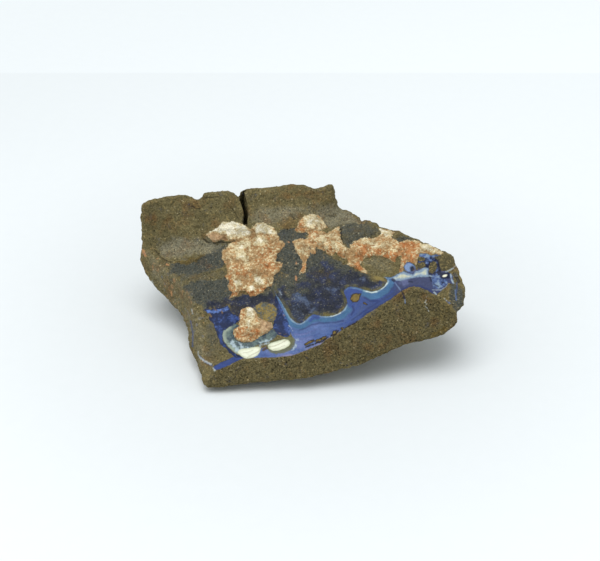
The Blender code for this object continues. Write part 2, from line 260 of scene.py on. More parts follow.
class Graph:
    """Builds the node tree of one material."""

    def __init__(self, name: str) -> None:
        """Starts an empty material.

        Args:
            name: Name of the material.
        """
        self.material = bpy.data.materials.new(name)
        self.material.use_nodes = True
        self.tree = self.material.node_tree
        self.tree.nodes.clear()
        self.place = self.node("ShaderNodeTexCoord", output=3)

    def node(self, kind: str, settings: dict | None = None, inputs: dict | None = None, output: int = 0) -> Wire:
        """Adds a node, sets it, and fills or links its sockets.

        Args:
            kind: Node type.
            settings: Its own settings, which are set first.
            inputs: Value or Wire for each socket, by number or name.
            output: Which output the Wire reads.

        Returns:
            That output.
        """
        made = self.tree.nodes.new(kind)
        for key, value in (settings or {}).items():
            setattr(made, key, value)
        for key, value in (inputs or {}).items():
            socket = made.inputs[key]
            if isinstance(value, Wire):
                self.tree.links.new(value.socket, socket)
            elif isinstance(value, tuple):
                socket.default_value = (*value, 1.0)[: len(socket.default_value)]
            else:
                socket.default_value = value
        return Wire(self, made.outputs[output] if made.outputs else None)

    def field(self, name: str) -> Wire:
        """Reads one of the mesh's fields."""
        return self.node("ShaderNodeAttribute", {"attribute_name": name}, output=2)

    def blend(self, under: "Wire | Colour", over: "Wire | Colour", mask: "Wire | float") -> Wire:
        """Lays one colour over another.

        Args:
            under: Colour below.
            over: Colour on top.
            mask: How much of the top shows.

        Returns:
            The blended colour.
        """
        return self.node("ShaderNodeMix", {"data_type": "RGBA"}, {0: mask, 6: under, 7: over}, output=2)

    def coats(self, colour: "Wire | Colour", *coats: "tuple[Wire | Colour, Wire | float]") -> Wire:
        """Lays several colours over one, each by its own mask.

        Args:
            colour: Colour at the bottom.
            coats: Each further colour, and how much of it shows.

        Returns:
            The blended colour.
        """
        for over, mask in coats:
            colour = self.blend(colour, over, mask)
        return colour

    def scaled(self, colour: "Wire | Colour", amount: "Wire | float") -> Wire:
        """Makes a colour lighter or darker by a factor."""
        return self.node("ShaderNodeVectorMath", {"operation": "SCALE"}, {0: colour, "Scale": amount})

    def noise(self, size: float, detail: float, shift: float, along: Wire | None = None) -> Wire:
        """Adds a noise pattern of a real size.

        Args:
            size: Width of its largest lumps in metres, or in units of along.
            detail: How many finer layers it has.
            shift: Moves the pattern, so that two layers differ.
            along: Coordinates other than the stone's own.

        Returns:
            Noise about 0.5.
        """
        move = {0: along or self.place, 1: (shift, shift * 0.7, shift * 1.3)}
        vector = self.node("ShaderNodeVectorMath", {"operation": "ADD"}, move)
        return self.node("ShaderNodeTexNoise", {}, {"Vector": vector, "Scale": 1.0 / size, "Detail": detail})

    def grains(self, size: float, output: int = 1) -> Wire:
        """Adds a pattern of cells of a real size, with a chance colour for each cell.

        Args:
            size: Width of a cell in metres.
            output: 0 gives the distance from the middle of the cell instead.

        Returns:
            The chance colour of the cell, or the distance.
        """
        return self.node("ShaderNodeTexVoronoi", {}, {"Vector": self.place, "Scale": 1.0 / size}, output=output)

    def part(self, colour: Wire, channel: int) -> Wire:
        """Takes one channel of a colour."""
        return self.node("ShaderNodeSeparateColor", {}, {0: colour}, output=channel)


@dataclass
class Look:
    """What a layer shows: its colour, roughness, gloss coat and fine relief in metres."""

    colour: Wire | Colour
    roughness: Wire | float
    coat: Wire | float
    height: Wire | float

    def under(self, graph: Graph, top: "Look", mask: Wire) -> "Look":
        """Lays another look over this one.

        Args:
            graph: The material's graph.
            top: The look on top.
            mask: Where it shows.

        Returns:
            The two together.
        """
        def merge(low: "Wire | float", high: "Wire | float") -> Wire:
            """Goes from low to high by the mask."""
            return mask * high + (1.0 - mask) * low

        return Look(graph.blend(self.colour, top.colour, mask), merge(self.roughness, top.roughness),
                    merge(self.coat, top.coat), merge(self.height, top.height))

    def painted(self, graph: Graph, *coats: "tuple[Wire | Colour, Wire | float]") -> "Look":
        """Changes the colour alone.

        Args:
            graph: The material's graph.
            coats: Each new colour, and where it shows.

        Returns:
            The changed look.
        """
        return Look(graph.coats(self.colour, *coats), self.roughness, self.coat, self.height)


# ---------------------------------------------------------------- where the stone is seen from


@dataclass(frozen=True)
class Viewpoint:
    """The camera, and where in its frame each point shows."""

    target: Place = (0.53 * MM, 1.80 * MM, 16.3 * MM)
    distance: float = 393.5 * MM
    elevation: float = math.radians(33.0)
    lens: float = 85.0
    sensor: float = 36.0
    width: int = 600
    height: int = 561

    def axes(self) -> tuple[np.ndarray, np.ndarray, np.ndarray]:
        """Gives the view's forward, right and up directions."""
        rise, level = math.sin(self.elevation), math.cos(self.elevation)
        return np.array((0.0, level, -rise)), np.array((1.0, 0.0, 0.0)), np.array((0.0, rise, level))

    def eye(self) -> np.ndarray:
        """Gives the place of the camera."""
        return np.array(self.target) - self.distance * self.axes()[0]

    def pixels(self, points: np.ndarray) -> np.ndarray:
        """Finds where points show in the camera's frame.

        Args:
            points: Points in metres.

        Returns:
            One row (across, down) a point, in pixels.
        """
        forward, right, up = self.axes()
        away = points - self.eye()
        scale = self.width * self.lens / self.sensor / (away @ forward)
        return np.stack((self.width / 2 + scale * (away @ right), self.height / 2 - scale * (away @ up)), axis=1)

    def camera(self) -> None:
        """Adds the camera to the scene."""
        data = bpy.data.cameras.new("view")
        data.lens = self.lens
        data.sensor_width = self.sensor
        data.clip_start = 0.01
        made = bpy.data.objects.new("view", data)
        made.location = self.eye().tolist()
        made.rotation_euler = (math.pi / 2 - self.elevation, 0.0, 0.0)
        bpy.context.scene.collection.objects.link(made)
        bpy.context.scene.camera = made


@dataclass
class Chart:
    """The surface points that the layers draw on."""

    DEEPEST: ClassVar[float] = 30.0  # depths are kept to this many pixels
    UNSEEN: ClassVar[float] = 60.0  # pixels taken off the depth of a point that isn't seen
    BROAD: ClassVar[float] = 1.5 * MM
    TIGHT: ClassVar[float] = 0.6 * MM

    places: np.ndarray
    pixels: np.ndarray
    seen: np.ndarray
    shake: np.ndarray = field(init=False)

    def __post_init__(self) -> None:
        """Works out the shake that makes drawn edges ragged: two sizes of noise along each axis."""
        broad = np.array([noise.noise_vector(p)[:2] for p in (self.places / self.BROAD).tolist()])
        tight = np.array([noise.noise_vector(p)[:2] for p in (self.places / self.TIGHT + 9.0).tolist()])
        self.shake = broad + 0.5 * tight

    def shaken(self, ragged: float) -> np.ndarray:
        """Gives the points' pixels, shaken by up to about so many pixels."""
        return self.pixels + self.shake * ragged

    def kept(self, depths: np.ndarray) -> np.ndarray:
        """Limits depths, and puts them far below zero where the point isn't seen."""
        return np.clip(depths, -self.DEEPEST, self.DEEPEST) - self.UNSEEN * (1.0 - self.seen)

    def inside(self, *outlines: Line, ragged: float = 0.0) -> np.ndarray:
        """Measures how deep each point lies in any of some outlines.

        Args:
            outlines: Closed outlines in pixels.
            ragged: How far the outlines' edges wander in pixels.

        Returns:
            Depths in pixels, far below zero where the point isn't seen.
        """
        return self.kept(np.maximum.reduce([depth(self.shaken(ragged), outline) for outline in outlines]))

    def stroke(self, *strokes: Stroke, ragged: float = 0.0) -> np.ndarray:
        """Measures how deep each point lies in brush strokes.

        Args:
            strokes: Half the width, and the points of each stroke.
            ragged: How far the strokes wander in pixels.

        Returns:
            Depths in pixels, negative outside.
        """
        return self.kept(np.maximum.reduce([half - distance(self.shaken(ragged), drawn) for half, drawn in strokes]))

    def stain(self, *stains: Stain, ragged: float = 3.0) -> np.ndarray:
        """Takes the strongest of some soft stains.

        Args:
            stains: Strength, width of the soft edge in pixels, and outline of each stain.
            ragged: How far the stains' edges wander in pixels.

        Returns:
            The strength at each point.
        """
        total = np.zeros(len(self.pixels))
        for strength, soft, outline in stains:
            total = np.maximum(total, strength * ease(depth(self.shaken(ragged), outline), -soft, soft))
        return total * self.seen


class Ground(Enum):
    """How a face of the stone came about, which sets how rough it is (in millimetres)."""

    SAWN = 0.035
    BROKEN = 0.22
    SKIN = 0.24


# ---------------------------------------------------------------- the layers of the stone


@dataclass(frozen=True)
class Ironstone:
    """The dark brown sandy ironstone that makes up the stone."""

    brown: Colour = rgb(110, 101, 70)
    slate: Colour = rgb(78, 80, 73)
    pale: Colour = rgb(126, 121, 100)
    ochre: Colour = rgb(108, 88, 38)
    rust: Colour = rgb(116, 76, 40)
    gold: Colour = rgb(146, 124, 74)
    speck: Colour = rgb(184, 174, 142)
    shade: Colour = rgb(34, 31, 25)
    peach: Colour = rgb(206, 150, 104)
    mist: Colour = rgb(128, 138, 158)
    grain: float = 0.34 * MM
    chip: float = 0.8 * MM
    slates: Stains = (
        stain(0.9, 4.0, 170, 264, 188, 261, 206, 253, 214, 243, 226, 244, 228, 258, 224, 268, 204, 273, 184, 276,
            170, 274),
        stain(1.0, 4.0, 183, 286, 200, 279, 229, 278, 232, 300, 204, 309, 192, 300),
        stain(1.0, 3.5, 276, 240, 286, 240, 296, 242, 316, 246, 340, 262, 380, 281, 385, 286, 372, 291, 352, 286,
            345, 290, 347, 302, 338, 313, 312, 314, 301, 323, 290, 317, 280, 299, 240, 305, 229, 296, 262, 294,
            270, 284, 274, 262),
        stain(1.0, 2.0, 278, 231, 290, 229, 307, 233, 306, 240, 292, 243, 280, 241),
        stain(0.5, 2.0, 178, 274, 206, 270, 228, 272, 230, 280, 204, 281, 182, 282),
        stain(0.65, 2.5, 340, 227, 349, 222, 367, 222, 377, 227, 380, 233, 374, 238, 359, 240, 349, 249, 339, 238),
        stain(0.45, 4.0, 318, 206, 330, 203, 346, 212, 364, 224, 350, 222, 338, 228, 326, 226),
        stain(0.75, 3.0, 451, 282, 464, 290, 462, 308, 456, 313, 448, 304),
        stain(0.8, 2.5, 391, 236, 405, 236, 421, 241, 399, 243),
        stain(0.5, 3.0, 208, 240, 240, 240, 226, 247, 206, 250),
        stain(0.4, 5.0, 206, 318, 222, 330, 234, 354, 216, 366, 206, 360),
    )
    pales: Stains = (
        stain(0.85, 5.0, 156, 246, 174, 236, 206, 238, 222, 246, 214, 252, 190, 256, 164, 260),
        stain(0.15, 3.0, 176, 275, 205, 271, 226, 275, 224, 280, 200, 279, 179, 280),
        stain(0.4, 4.0, 146, 250, 168, 266, 194, 298, 206, 330, 206, 372, 200, 368, 186, 320, 152, 284),
        stain(0.6, 5.0, 262, 207, 330, 204, 318, 214, 302, 214, 280, 224, 256, 226, 248, 216),
        stain(0.5, 4.0, 362, 262, 376, 255, 396, 260, 390, 274, 374, 272),
        stain(1.0, 3.0, 314, 210, 332, 204, 350, 213, 364, 222, 346, 223, 328, 228),
    )
    ochres: Stains = (
        stain(1.0, 1.5, 170, 261, 184, 259.5, 193, 258, 205, 255, 203, 259, 196, 262, 187, 265, 174, 263),
        stain(0.5, 2.5, 380, 352, 396, 347, 407, 342, 407, 345, 390, 352, 364, 361),
        stain(0.8, 1.6, 429, 333, 440, 328, 449, 326, 447, 332, 438, 337, 431, 336.5),
        stain(0.2, 5.0, 207, 330, 214, 332, 226, 350, 222, 362, 212, 364),
        stain(0.4, 6.0, 430, 296, 450, 290, 456, 312, 450, 326, 436, 318),
        stain(0.3, 3.0, 276, 256, 286, 258, 290, 272, 282, 284, 272, 286, 270, 276),
        stain(0.6, 3.0, 310, 270, 330, 270, 336, 282, 318, 284),
    )
    rusts: Stains = (
        stain(0.8, 5.0, 144, 213, 157, 211, 160, 222, 146, 224),
        stain(0.5, 5.0, 175, 197, 198, 198, 204, 208, 184, 208),
        stain(0.5, 7.0, 262, 194, 300, 188, 330, 189, 332, 204, 300, 200, 268, 204),
        stain(0.5, 5.0, 160, 270, 176, 282, 194, 300, 196, 316, 180, 300, 162, 282),
        stain(0.5, 4.0, 196, 262, 208, 258, 212, 268, 200, 272),
    )
    flank: Stain = stain(1.0, 5.0, 142, 244, 154, 252, 176, 276, 194, 300, 206, 330, 206, 372, 196, 350, 186, 318,
        150, 284)
    # painted shade: dark strokes where shade falls, in the crack, under the chip ledge and the clay plate, along the
    # top of the flank, in a pit and down a block's left side
    shaded_creases: Strokes = (
        stroke(1.3, 243.6, 195, 244.8, 200, 245.2, 206, 245, 214, 244.6, 222),
        stroke(0.3, 203.5, 198.2, 210, 197.4, 218.5, 197),
        stroke(0.2, 230, 206, 234, 211, 238, 219),
        stroke(0.3, 155, 250, 160, 257, 168, 262, 171, 262.5),
        stroke(0.7, 204, 239, 207, 241, 209, 243),
        stroke(0.5, 213, 243, 224, 242.2, 236, 241.6, 248, 240.4),
        stroke(0.5, 340.5, 229, 341.5, 238, 343, 246),
        stroke(0.4, 192, 206, 196, 208.6, 200, 208.4),
        stroke(0.4, 290, 214, 294, 219),
    )
    # the crack's line in millimetres, along which painted shade darkens its walls and floor
    crack: Line = line(-14.8, 10.6, -14.6, 14.0, -15.9, 17.0, -13.5, 19.3, -12.3, 23.8, -14.5, 30.8)
    crack_foot: float = 23.0
    crack_half: float = 0.55
    spots: Strokes = (
        stroke(1.2, 142.6, 250, 145.2, 255.6),
        stroke(1.1, 303, 269.5, 301, 272),
        stroke(0.9, 295.8, 277, 296.2, 280.5),
        stroke(0.7, 296.3, 262.6, 296.7, 263.6),
        stroke(0.7, 288, 241.6, 289, 242.6),
        stroke(0.8, 167, 264.5, 168.4, 265.5),
        stroke(0.6, 171, 292, 172, 296),
    )

    def fields(self, chart: Chart) -> dict[str, np.ndarray]:
        """Measures the stone's own stains, the strokes of painted shade, and how deep each point lies in the crack,
        where shade is painted too.

        Args:
            chart: The surface points.

        Returns:
            The fields. The crack's is in millimetres and the others are in pixels.
        """
        beside = self.crack_half - distance(chart.places[:, :2] / MM, self.crack)
        above = (chart.places[:, 2] / MM - self.crack_foot) * 0.4
        return {"flank": chart.stain(self.flank), "slate": chart.stain(*self.slates), "pale": chart.stain(*self.pales),
                "ochre": chart.stain(*self.ochres), "rust": chart.stain(*self.rusts),
                "crack": np.clip(np.minimum(beside, above), -2.0, 1.0),
                "crease": chart.stroke(*self.shaded_creases, ragged=0.9), "peach": chart.stroke(*self.spots, ragged=0.7)}

    def look(self, graph: Graph) -> Look:
        """Makes the stone's look, grain by grain.

        Args:
            graph: The material's graph.

        Returns:
            The look.
        """
        drift = graph.noise(8 * MM, 3.0, 3.1)
        patch = graph.noise(2.4 * MM, 3.0, 5.7)
        fine = graph.noise(0.55 * MM, 3.0, 1.7)
        cell = graph.grains(self.grain)
        sand = graph.noise(0.3 * MM, 1.0, 2.9)
        light, warm, dark = (graph.part(cell, channel) for channel in range(3))
        slate = (graph.field("slate") + drift.sway(0.7) + patch.sway(0.7) + fine.sway(0.6)).rise(0.15, 0.8)
        pale = (graph.field("pale") + drift.sway(0.5) + patch.sway(0.5)).rise(0.05, 0.95)
        ochre = (graph.field("ochre") + fine.sway(1.4) + patch.sway(1.2)).rise(0.1, 1.0)
        tint = graph.noise(5 * MM, 4.0, 7.7) + fine.sway(0.25)
        rust = (graph.field("rust") + patch.sway(1.6) + fine.sway(0.7)).rise(0.2, 1.1)
        colour = graph.coats(
            self.brown,
            (self.slate, slate),
            (self.pale, pale),
            (self.rust, (tint.rise(0.5, 0.72) * (1.0 - slate) * 0.4).most(rust * 0.6)),
            (self.ochre, ochre * 0.6),
            (self.gold, (warm + fine.sway(0.9)).rise(0.68, 1.15) * (0.45 - slate * 0.2)),
            (self.speck, (light + fine.sway(0.3)).rise(0.95, 1.06) * (0.4 + pale * 0.2)))
        # painted shade: the sawn front face is darkened by 35 % to stand in for the weaker light that reaches it; its
        # grit also shows more strongly
        cut = graph.field("cut")
        grit = fine.sway(1.1) + sand.sway(1.1) + light.sway(0.4)
        tone = 1.0 + grit * (1.0 + cut * 0.5) + patch.sway(0.5) + drift.sway(0.3)
        colour = graph.scaled(colour, (tone - dark.fall(0.02, 0.3) * 0.3) * (1.0 - cut * 0.35))
        # painted shade: these strokes are darkened with the shade colour; they also sink the fine relief a little
        crease = (graph.field("crease") + fine.sway(1.2)).rise(-0.9, 0.5)
        colour = graph.blend(colour, self.shade, crease * 0.8)
        # painted shade: the crack is darkened by up to 85 %
        crack = (graph.field("crack") + fine.sway(1.0)).rise(-0.35, 0.3)
        colour = graph.scaled(colour, 1.0 - crack * 0.85)
        chips = graph.grains(self.chip)
        chip = (graph.part(chips, 0) + fine.sway(0.4)).rise(0.88, 0.98) * graph.field("flank")
        spot = (graph.field("peach") + fine.sway(2.2)).rise(-0.6, 0.8)
        colour = graph.coats(
            colour,
            (graph.blend(self.peach, self.mist, graph.part(chips, 1).rise(0.6, 0.62)), chip * 0.35),
            (self.peach, spot * 0.7))
        height = fine * (0.16 * MM) + graph.grains(0.7 * MM, 0) * (0.07 * MM) - crease * (0.1 * MM)
        return Look(colour, 0.84 - warm * 0.12, 0.0, height)


@dataclass(frozen=True)
class NavyStain:
    """The dark blue film of opal on the rock above the seam."""

    navy: Colour = rgb(34, 38, 52)
    violet: Colour = rgb(46, 54, 84)
    haze: Colour = rgb(88, 104, 132)
    fleck: Colour = rgb(134, 130, 104)
    stains: Stains = (
        stain(1.0, 5.0, 286, 308, 296, 296, 318, 286, 336, 278, 352, 270, 372, 280, 384, 284, 372, 291, 352, 286,
            345, 290, 347, 302, 338, 313, 312, 314, 301, 323, 290, 317),
        stain(1.0, 2.5, 206, 302, 230, 300, 240, 296, 262, 295, 284, 286, 288, 300, 276, 305, 262, 303.5, 244, 306,
            236, 308, 229, 305, 216, 308, 206, 309),
        stain(0.95, 2.5, 224, 299, 262, 300, 258, 306, 250, 308, 241, 310, 239, 317, 233, 316, 229, 307),
        stain(0.7, 6.0, 296, 286, 318, 262, 332, 262, 354, 276, 338, 286, 312, 296),
        stain(0.6, 3.0, 286, 288, 300, 286, 304, 300, 290, 304),
    )
    hazes: Stains = (
        stain(1.0, 3.5, 292, 294, 300, 291, 306, 297, 312, 304, 308, 308, 300, 301, 293, 299),
        stain(0.8, 2.0, 308, 312, 314, 306, 318, 309, 314, 315),
        stain(0.55, 3.0, 289, 304, 303, 303, 305, 318, 298, 321, 291, 314),
        stain(0.8, 2.0, 279, 289, 284, 292, 282, 300, 277, 298),
        stain(0.6, 2.0, 322, 288, 340, 286, 342, 291, 328, 294),
        stain(0.9, 1.4, 360, 278, 364, 277, 364, 281, 361, 281),
    )

    def fields(self, chart: Chart) -> dict[str, np.ndarray]:
        """Measures the film and its paler clouds."""
        return {"navy": chart.stain(*self.stains), "haze": chart.stain(*self.hazes, ragged=2.0)}

    def over(self, graph: Graph, under: Look) -> Look:
        """Stains the rock.

        Args:
            graph: The material's graph.
            under: The rock's look.

        Returns:
            The stained look.
        """
        cloud = graph.noise(2.4 * MM, 4.0, 5.3)
        fine = graph.noise(0.42 * MM, 2.0, 9.1)
        chance = graph.part(graph.grains(0.3 * MM), 0)
        amount = (graph.field("navy") + cloud.sway(1.6) + fine.sway(0.9)).rise(0.15, 0.85)
        blue = graph.coats(
            self.navy,
            (self.violet, (cloud - fine * 0.3).rise(0.28, 0.52)),
            (self.haze, (graph.field("haze") + cloud.sway(1.6) + fine.sway(1.4)).rise(0.1, 1.5) * 0.8),
            (self.fleck, (chance + fine.sway(1.3) + cloud.sway(0.9)).rise(0.9, 1.25) * 0.6))
        tone = 0.1 + fine * 1.1 + graph.noise(0.28 * MM, 1.0, 9.9) * 0.7
        film = Look(graph.scaled(blue, tone), 0.5, 0.05, under.height * 0.6)
        return under.under(graph, film, amount * 0.88)


@dataclass(frozen=True)
class OpalSeam:
    """The blue seam: banded opal between a scalloped upper edge and a nearly straight lower one."""

    brow: Line = line(274, 289, 277, 296, 280.5, 300.5, 285.6, 309, 289.4, 317, 295, 322, 299.5, 323.6, 304.5, 321.5,
        309.5, 316.6, 313, 313.8, 318, 315, 323, 316.2, 330.5, 316.4, 339.7, 313, 345.4, 308, 347.6, 301.5,
        345.2, 296, 343.4, 291.6, 346, 288, 351, 286.2, 358, 287.6, 365.2, 290.4, 372.3, 292, 379.5, 290, 384.6, 286,
        388, 281.4, 386.6, 279, 382.6, 276.5, 389.9, 277.8, 395.3, 275.5, 399.9, 272.4, 403.7, 271)
    end: Line = line(408, 272, 416, 270, 425, 267, 436, 271, 441, 270, 447, 271, 453, 276, 453, 284, 448, 283)
    sole: Line = line(447.3, 285.4, 441, 290.8, 436.6, 295, 432.4, 293.6, 427, 290.4, 419.8, 287, 413, 286.4,
        408, 287.6, 402, 290.2, 396.2, 295, 390, 299.8, 386.6, 301.5, 377.4, 307.7, 367, 313.8, 360, 320, 351, 325,
        342.8, 329, 334.6, 335.2, 326.4, 339.3, 320.3, 344.4, 310, 348.5, 298, 353.6, 287.7, 356.1, 275.4, 357.1,
        260, 357.7, 242.5, 358.4, 230, 364.6, 220, 369, 213.9, 370.4)
    heel: Line = line(213, 367, 218, 364, 228, 359.6, 236, 355.6, 243, 357, 254, 356.5, 259.5, 350, 266, 347,
        272, 350, 281, 351, 290, 347, 294, 340, 290, 331, 288, 326, 285, 315, 279, 304)
    blue: Colour = rgb(82, 104, 153)
    deep: Colour = rgb(44, 58, 100)
    royal: Colour = rgb(52, 73, 134)
    teal: Colour = rgb(64, 102, 138)
    night: Colour = rgb(38, 50, 94)
    rim: Colour = rgb(104, 134, 160)
    lavender: Colour = rgb(118, 126, 168)
    pink: Colour = rgb(140, 130, 150)
    purple: Colour = rgb(62, 68, 99)
    olive: Colour = rgb(106, 102, 64)
    pearl: Colour = rgb(146, 168, 176)
    white: Colour = rgb(214, 226, 220)
    teals: Strokes = (
        stroke(2.6, 286, 314, 290.5, 322, 296, 326.6, 302, 327, 308, 322.8, 314, 319.4, 324, 319.8, 334, 319.2,
            343, 315.6, 349, 309.6, 350.6, 303),
        stroke(3.0, 362, 292.6, 371, 296.2, 380, 294.6, 386.6, 290.4, 390.6, 284),
        stroke(1.4, 275.6, 293.6, 281.4, 303, 286, 311.6),
    )
    royals: Strokes = (
        stroke(3.2, 351.6, 305, 347.8, 298, 346.6, 292.6, 352, 289.6, 359, 291),
        stroke(2.0, 310, 320.4, 313.6, 317, 318, 318),
        stroke(1.6, 352, 330, 370, 318),
    )
    nights: Strokes = (
        stroke(0.7, 299, 330.4, 306, 328, 311, 324.8, 319, 323.2, 328.7, 322.6, 336, 322.2, 343, 320.8),
        stroke(0.8, 352.6, 306, 354, 310, 351, 315),
        stroke(0.9, 364.6, 297.4, 370, 300.6, 378, 301),
        stroke(0.5, 352, 320, 366, 310, 380, 301),
        stroke(1.0, 369, 313.4, 378, 308, 388, 301.4, 396, 295.6),
        stroke(1.6, 402, 291, 410, 287.4, 420, 287, 430, 291.4),
    )
    crescents: Strokes = (
        stroke(0.4, 320, 316.4, 326, 316.8, 331, 316.6, 336, 315, 341.5, 312.4, 345, 309.4, 347, 305),
        stroke(0.8, 364, 290.4, 371.3, 292.4, 377, 291.2, 382, 288.3, 385.6, 285, 388, 281.4),
        stroke(0.3, 292.6, 321, 297, 324, 301, 324, 304.8, 321.6),
        stroke(0.2, 276.6, 295, 281, 301.6, 285.6, 309.6, 288.6, 316, 292.6, 321),
        stroke(0.5, 376, 275.4, 381, 275.4, 386, 277.6),
    )
    # painted highlights: white glints on the pearly crescents
    bright: Strokes = (
        stroke(0.8, 381.4, 288.4, 384, 286.4, 386.6, 283.2),
        stroke(0.6, 330.6, 316.4, 335, 315.2, 340.5, 312.8),
        stroke(0.4, 366, 291.2, 372, 292.6, 377, 291.4),
    )

    tail: Point = (240.0, 252.0)
    deepens: Point = (318.0, 385.0)
    darkens: Point = (335.0, 350.0)
    end_from: Point = (392.0, 400.0)
    cloud: Place = (292.0, 10.0, 42.0)
    blush: Place = (308.0, 22.0, 34.0)

    def outline(self) -> Line:
        """Joins the seam's four edges to one outline."""
        return rounded(self.brow) + self.end + self.sole + self.heel

    def fields(self, chart: Chart) -> dict[str, np.ndarray]:
        """Measures the seam.

        Args:
            chart: The surface points.

        Returns:
            The depth in the seam, the depth below its upper edge, the height over its lower edge, its bands, and its
            painted glints.
        """
        outline = self.outline()
        places = chart.shaken(0.3)
        inside = np.where(enclosed(places, outline), 1.0, -1.0)
        return {"seam": chart.inside(outline, ragged=0.3),
                "brow": np.clip(distance(places, rounded(self.brow)) * inside, -30.0, 40.0),
                "sole": np.clip(distance(places, self.sole) * inside, -30.0, 40.0),
                "teal": chart.stroke(*self.teals, ragged=0.5), "royal": chart.stroke(*self.royals, ragged=1.0),
                "night": chart.stroke(*self.nights, ragged=0.5), "crescent": chart.stroke(*self.crescents, ragged=0.2),
                "bright": chart.stroke(*self.bright, ragged=0.3)}

    def over(self, graph: Graph, under: Look) -> Look:
        """Fills the seam with banded opal.

        Args:
            graph: The material's graph.
            under: The rock's look.

        Returns:
            The look with the seam in it.
        """
        brow, sole, seam = graph.field("brow"), graph.field("sole"), graph.field("seam")
        across, down = graph.field("across"), graph.field("down")
        wave = graph.noise(3.0 * MM, 3.0, 2.2)
        fine = graph.noise(0.5 * MM, 2.0, 6.1)
        grit = graph.noise(0.28 * MM, 2.0, 6.6)
        along = graph.node("ShaderNodeCombineXYZ", {}, {0: across * 0.03, 1: brow * 0.3 + down * 0.1, 2: 0.0})
        streak = graph.noise(1.0, 3.0, 4.0, along)
        rough = fine.sway(1.2)
        right, left = across.rise(*self.end_from), across.fall(*self.tail)
        pink = sole.fall(0.3, 2.4) * across.near(*self.blush) * (wave + fine.sway(0.8)).rise(0.42, 0.6)
        colour = graph.coats(
            self.blue,
            (self.deep, (across + wave.sway(40.0)).rise(*self.deepens) * 0.85),
            (self.deep, left * 0.95),
            (self.royal, left * wave.rise(0.4, 0.6) * 0.35),
            (self.royal, streak.rise(0.48, 0.62) * 0.6),
            (self.lavender, across.near(*self.cloud) * (wave + streak).rise(0.85, 1.15) * 0.5),
            (self.purple, right * 0.9),
            (self.lavender, right * (wave + rough * 0.1).rise(0.5, 0.7) * 0.35),
            (self.night, sole.fall(0.4, 3.6) * across.rise(*self.darkens) * wave.rise(0.3, 0.6) * 0.7),
            (self.teal, (graph.field("teal") + wave.sway(4.0) + rough * 0.4).rise(-1.4, 1.2)),
            (self.royal, (graph.field("royal") + wave.sway(2.0)).rise(-1.4, 1.2) * 0.85),
            (self.night, (graph.field("night") + wave.sway(2.2) + rough * 0.3).rise(-0.9, 0.6) * 0.65),
            (self.rim, brow.near(0.9, 0.3, 1.5) * (1.0 - right) * wave.rise(0.4, 0.62) * 0.7),
            (self.pink, pink * 0.65))
        colour = graph.coats(
            graph.scaled(colour, 0.27 + fine * 0.5 + grit * 0.4 + wave * 0.6),
            (self.pearl, (graph.field("crescent") + rough * 0.4 + (wave - 0.5)).rise(-0.8, 0.5) * 0.85),
            # painted highlight: the white glints
            (self.white, (graph.field("bright") + rough * 0.3 + (wave - 0.5)).rise(-0.6, 0.5) * 0.85))
        opal = Look(colour, 0.3 + fine * 0.1, 0.05, fine * (0.012 * MM))
        ragged = (graph.noise(1.6 * MM, 2.0, 8.8) + rough * 0.3).rise(0.3, 0.75)
        under = under.painted(graph, (self.olive, brow.near(-1.3, 0.6, 3.2) * (1.0 - right) * ragged * 0.75))
        return under.under(graph, opal, (seam + rough + (wave - 0.5)).rise(-0.5, 0.5))


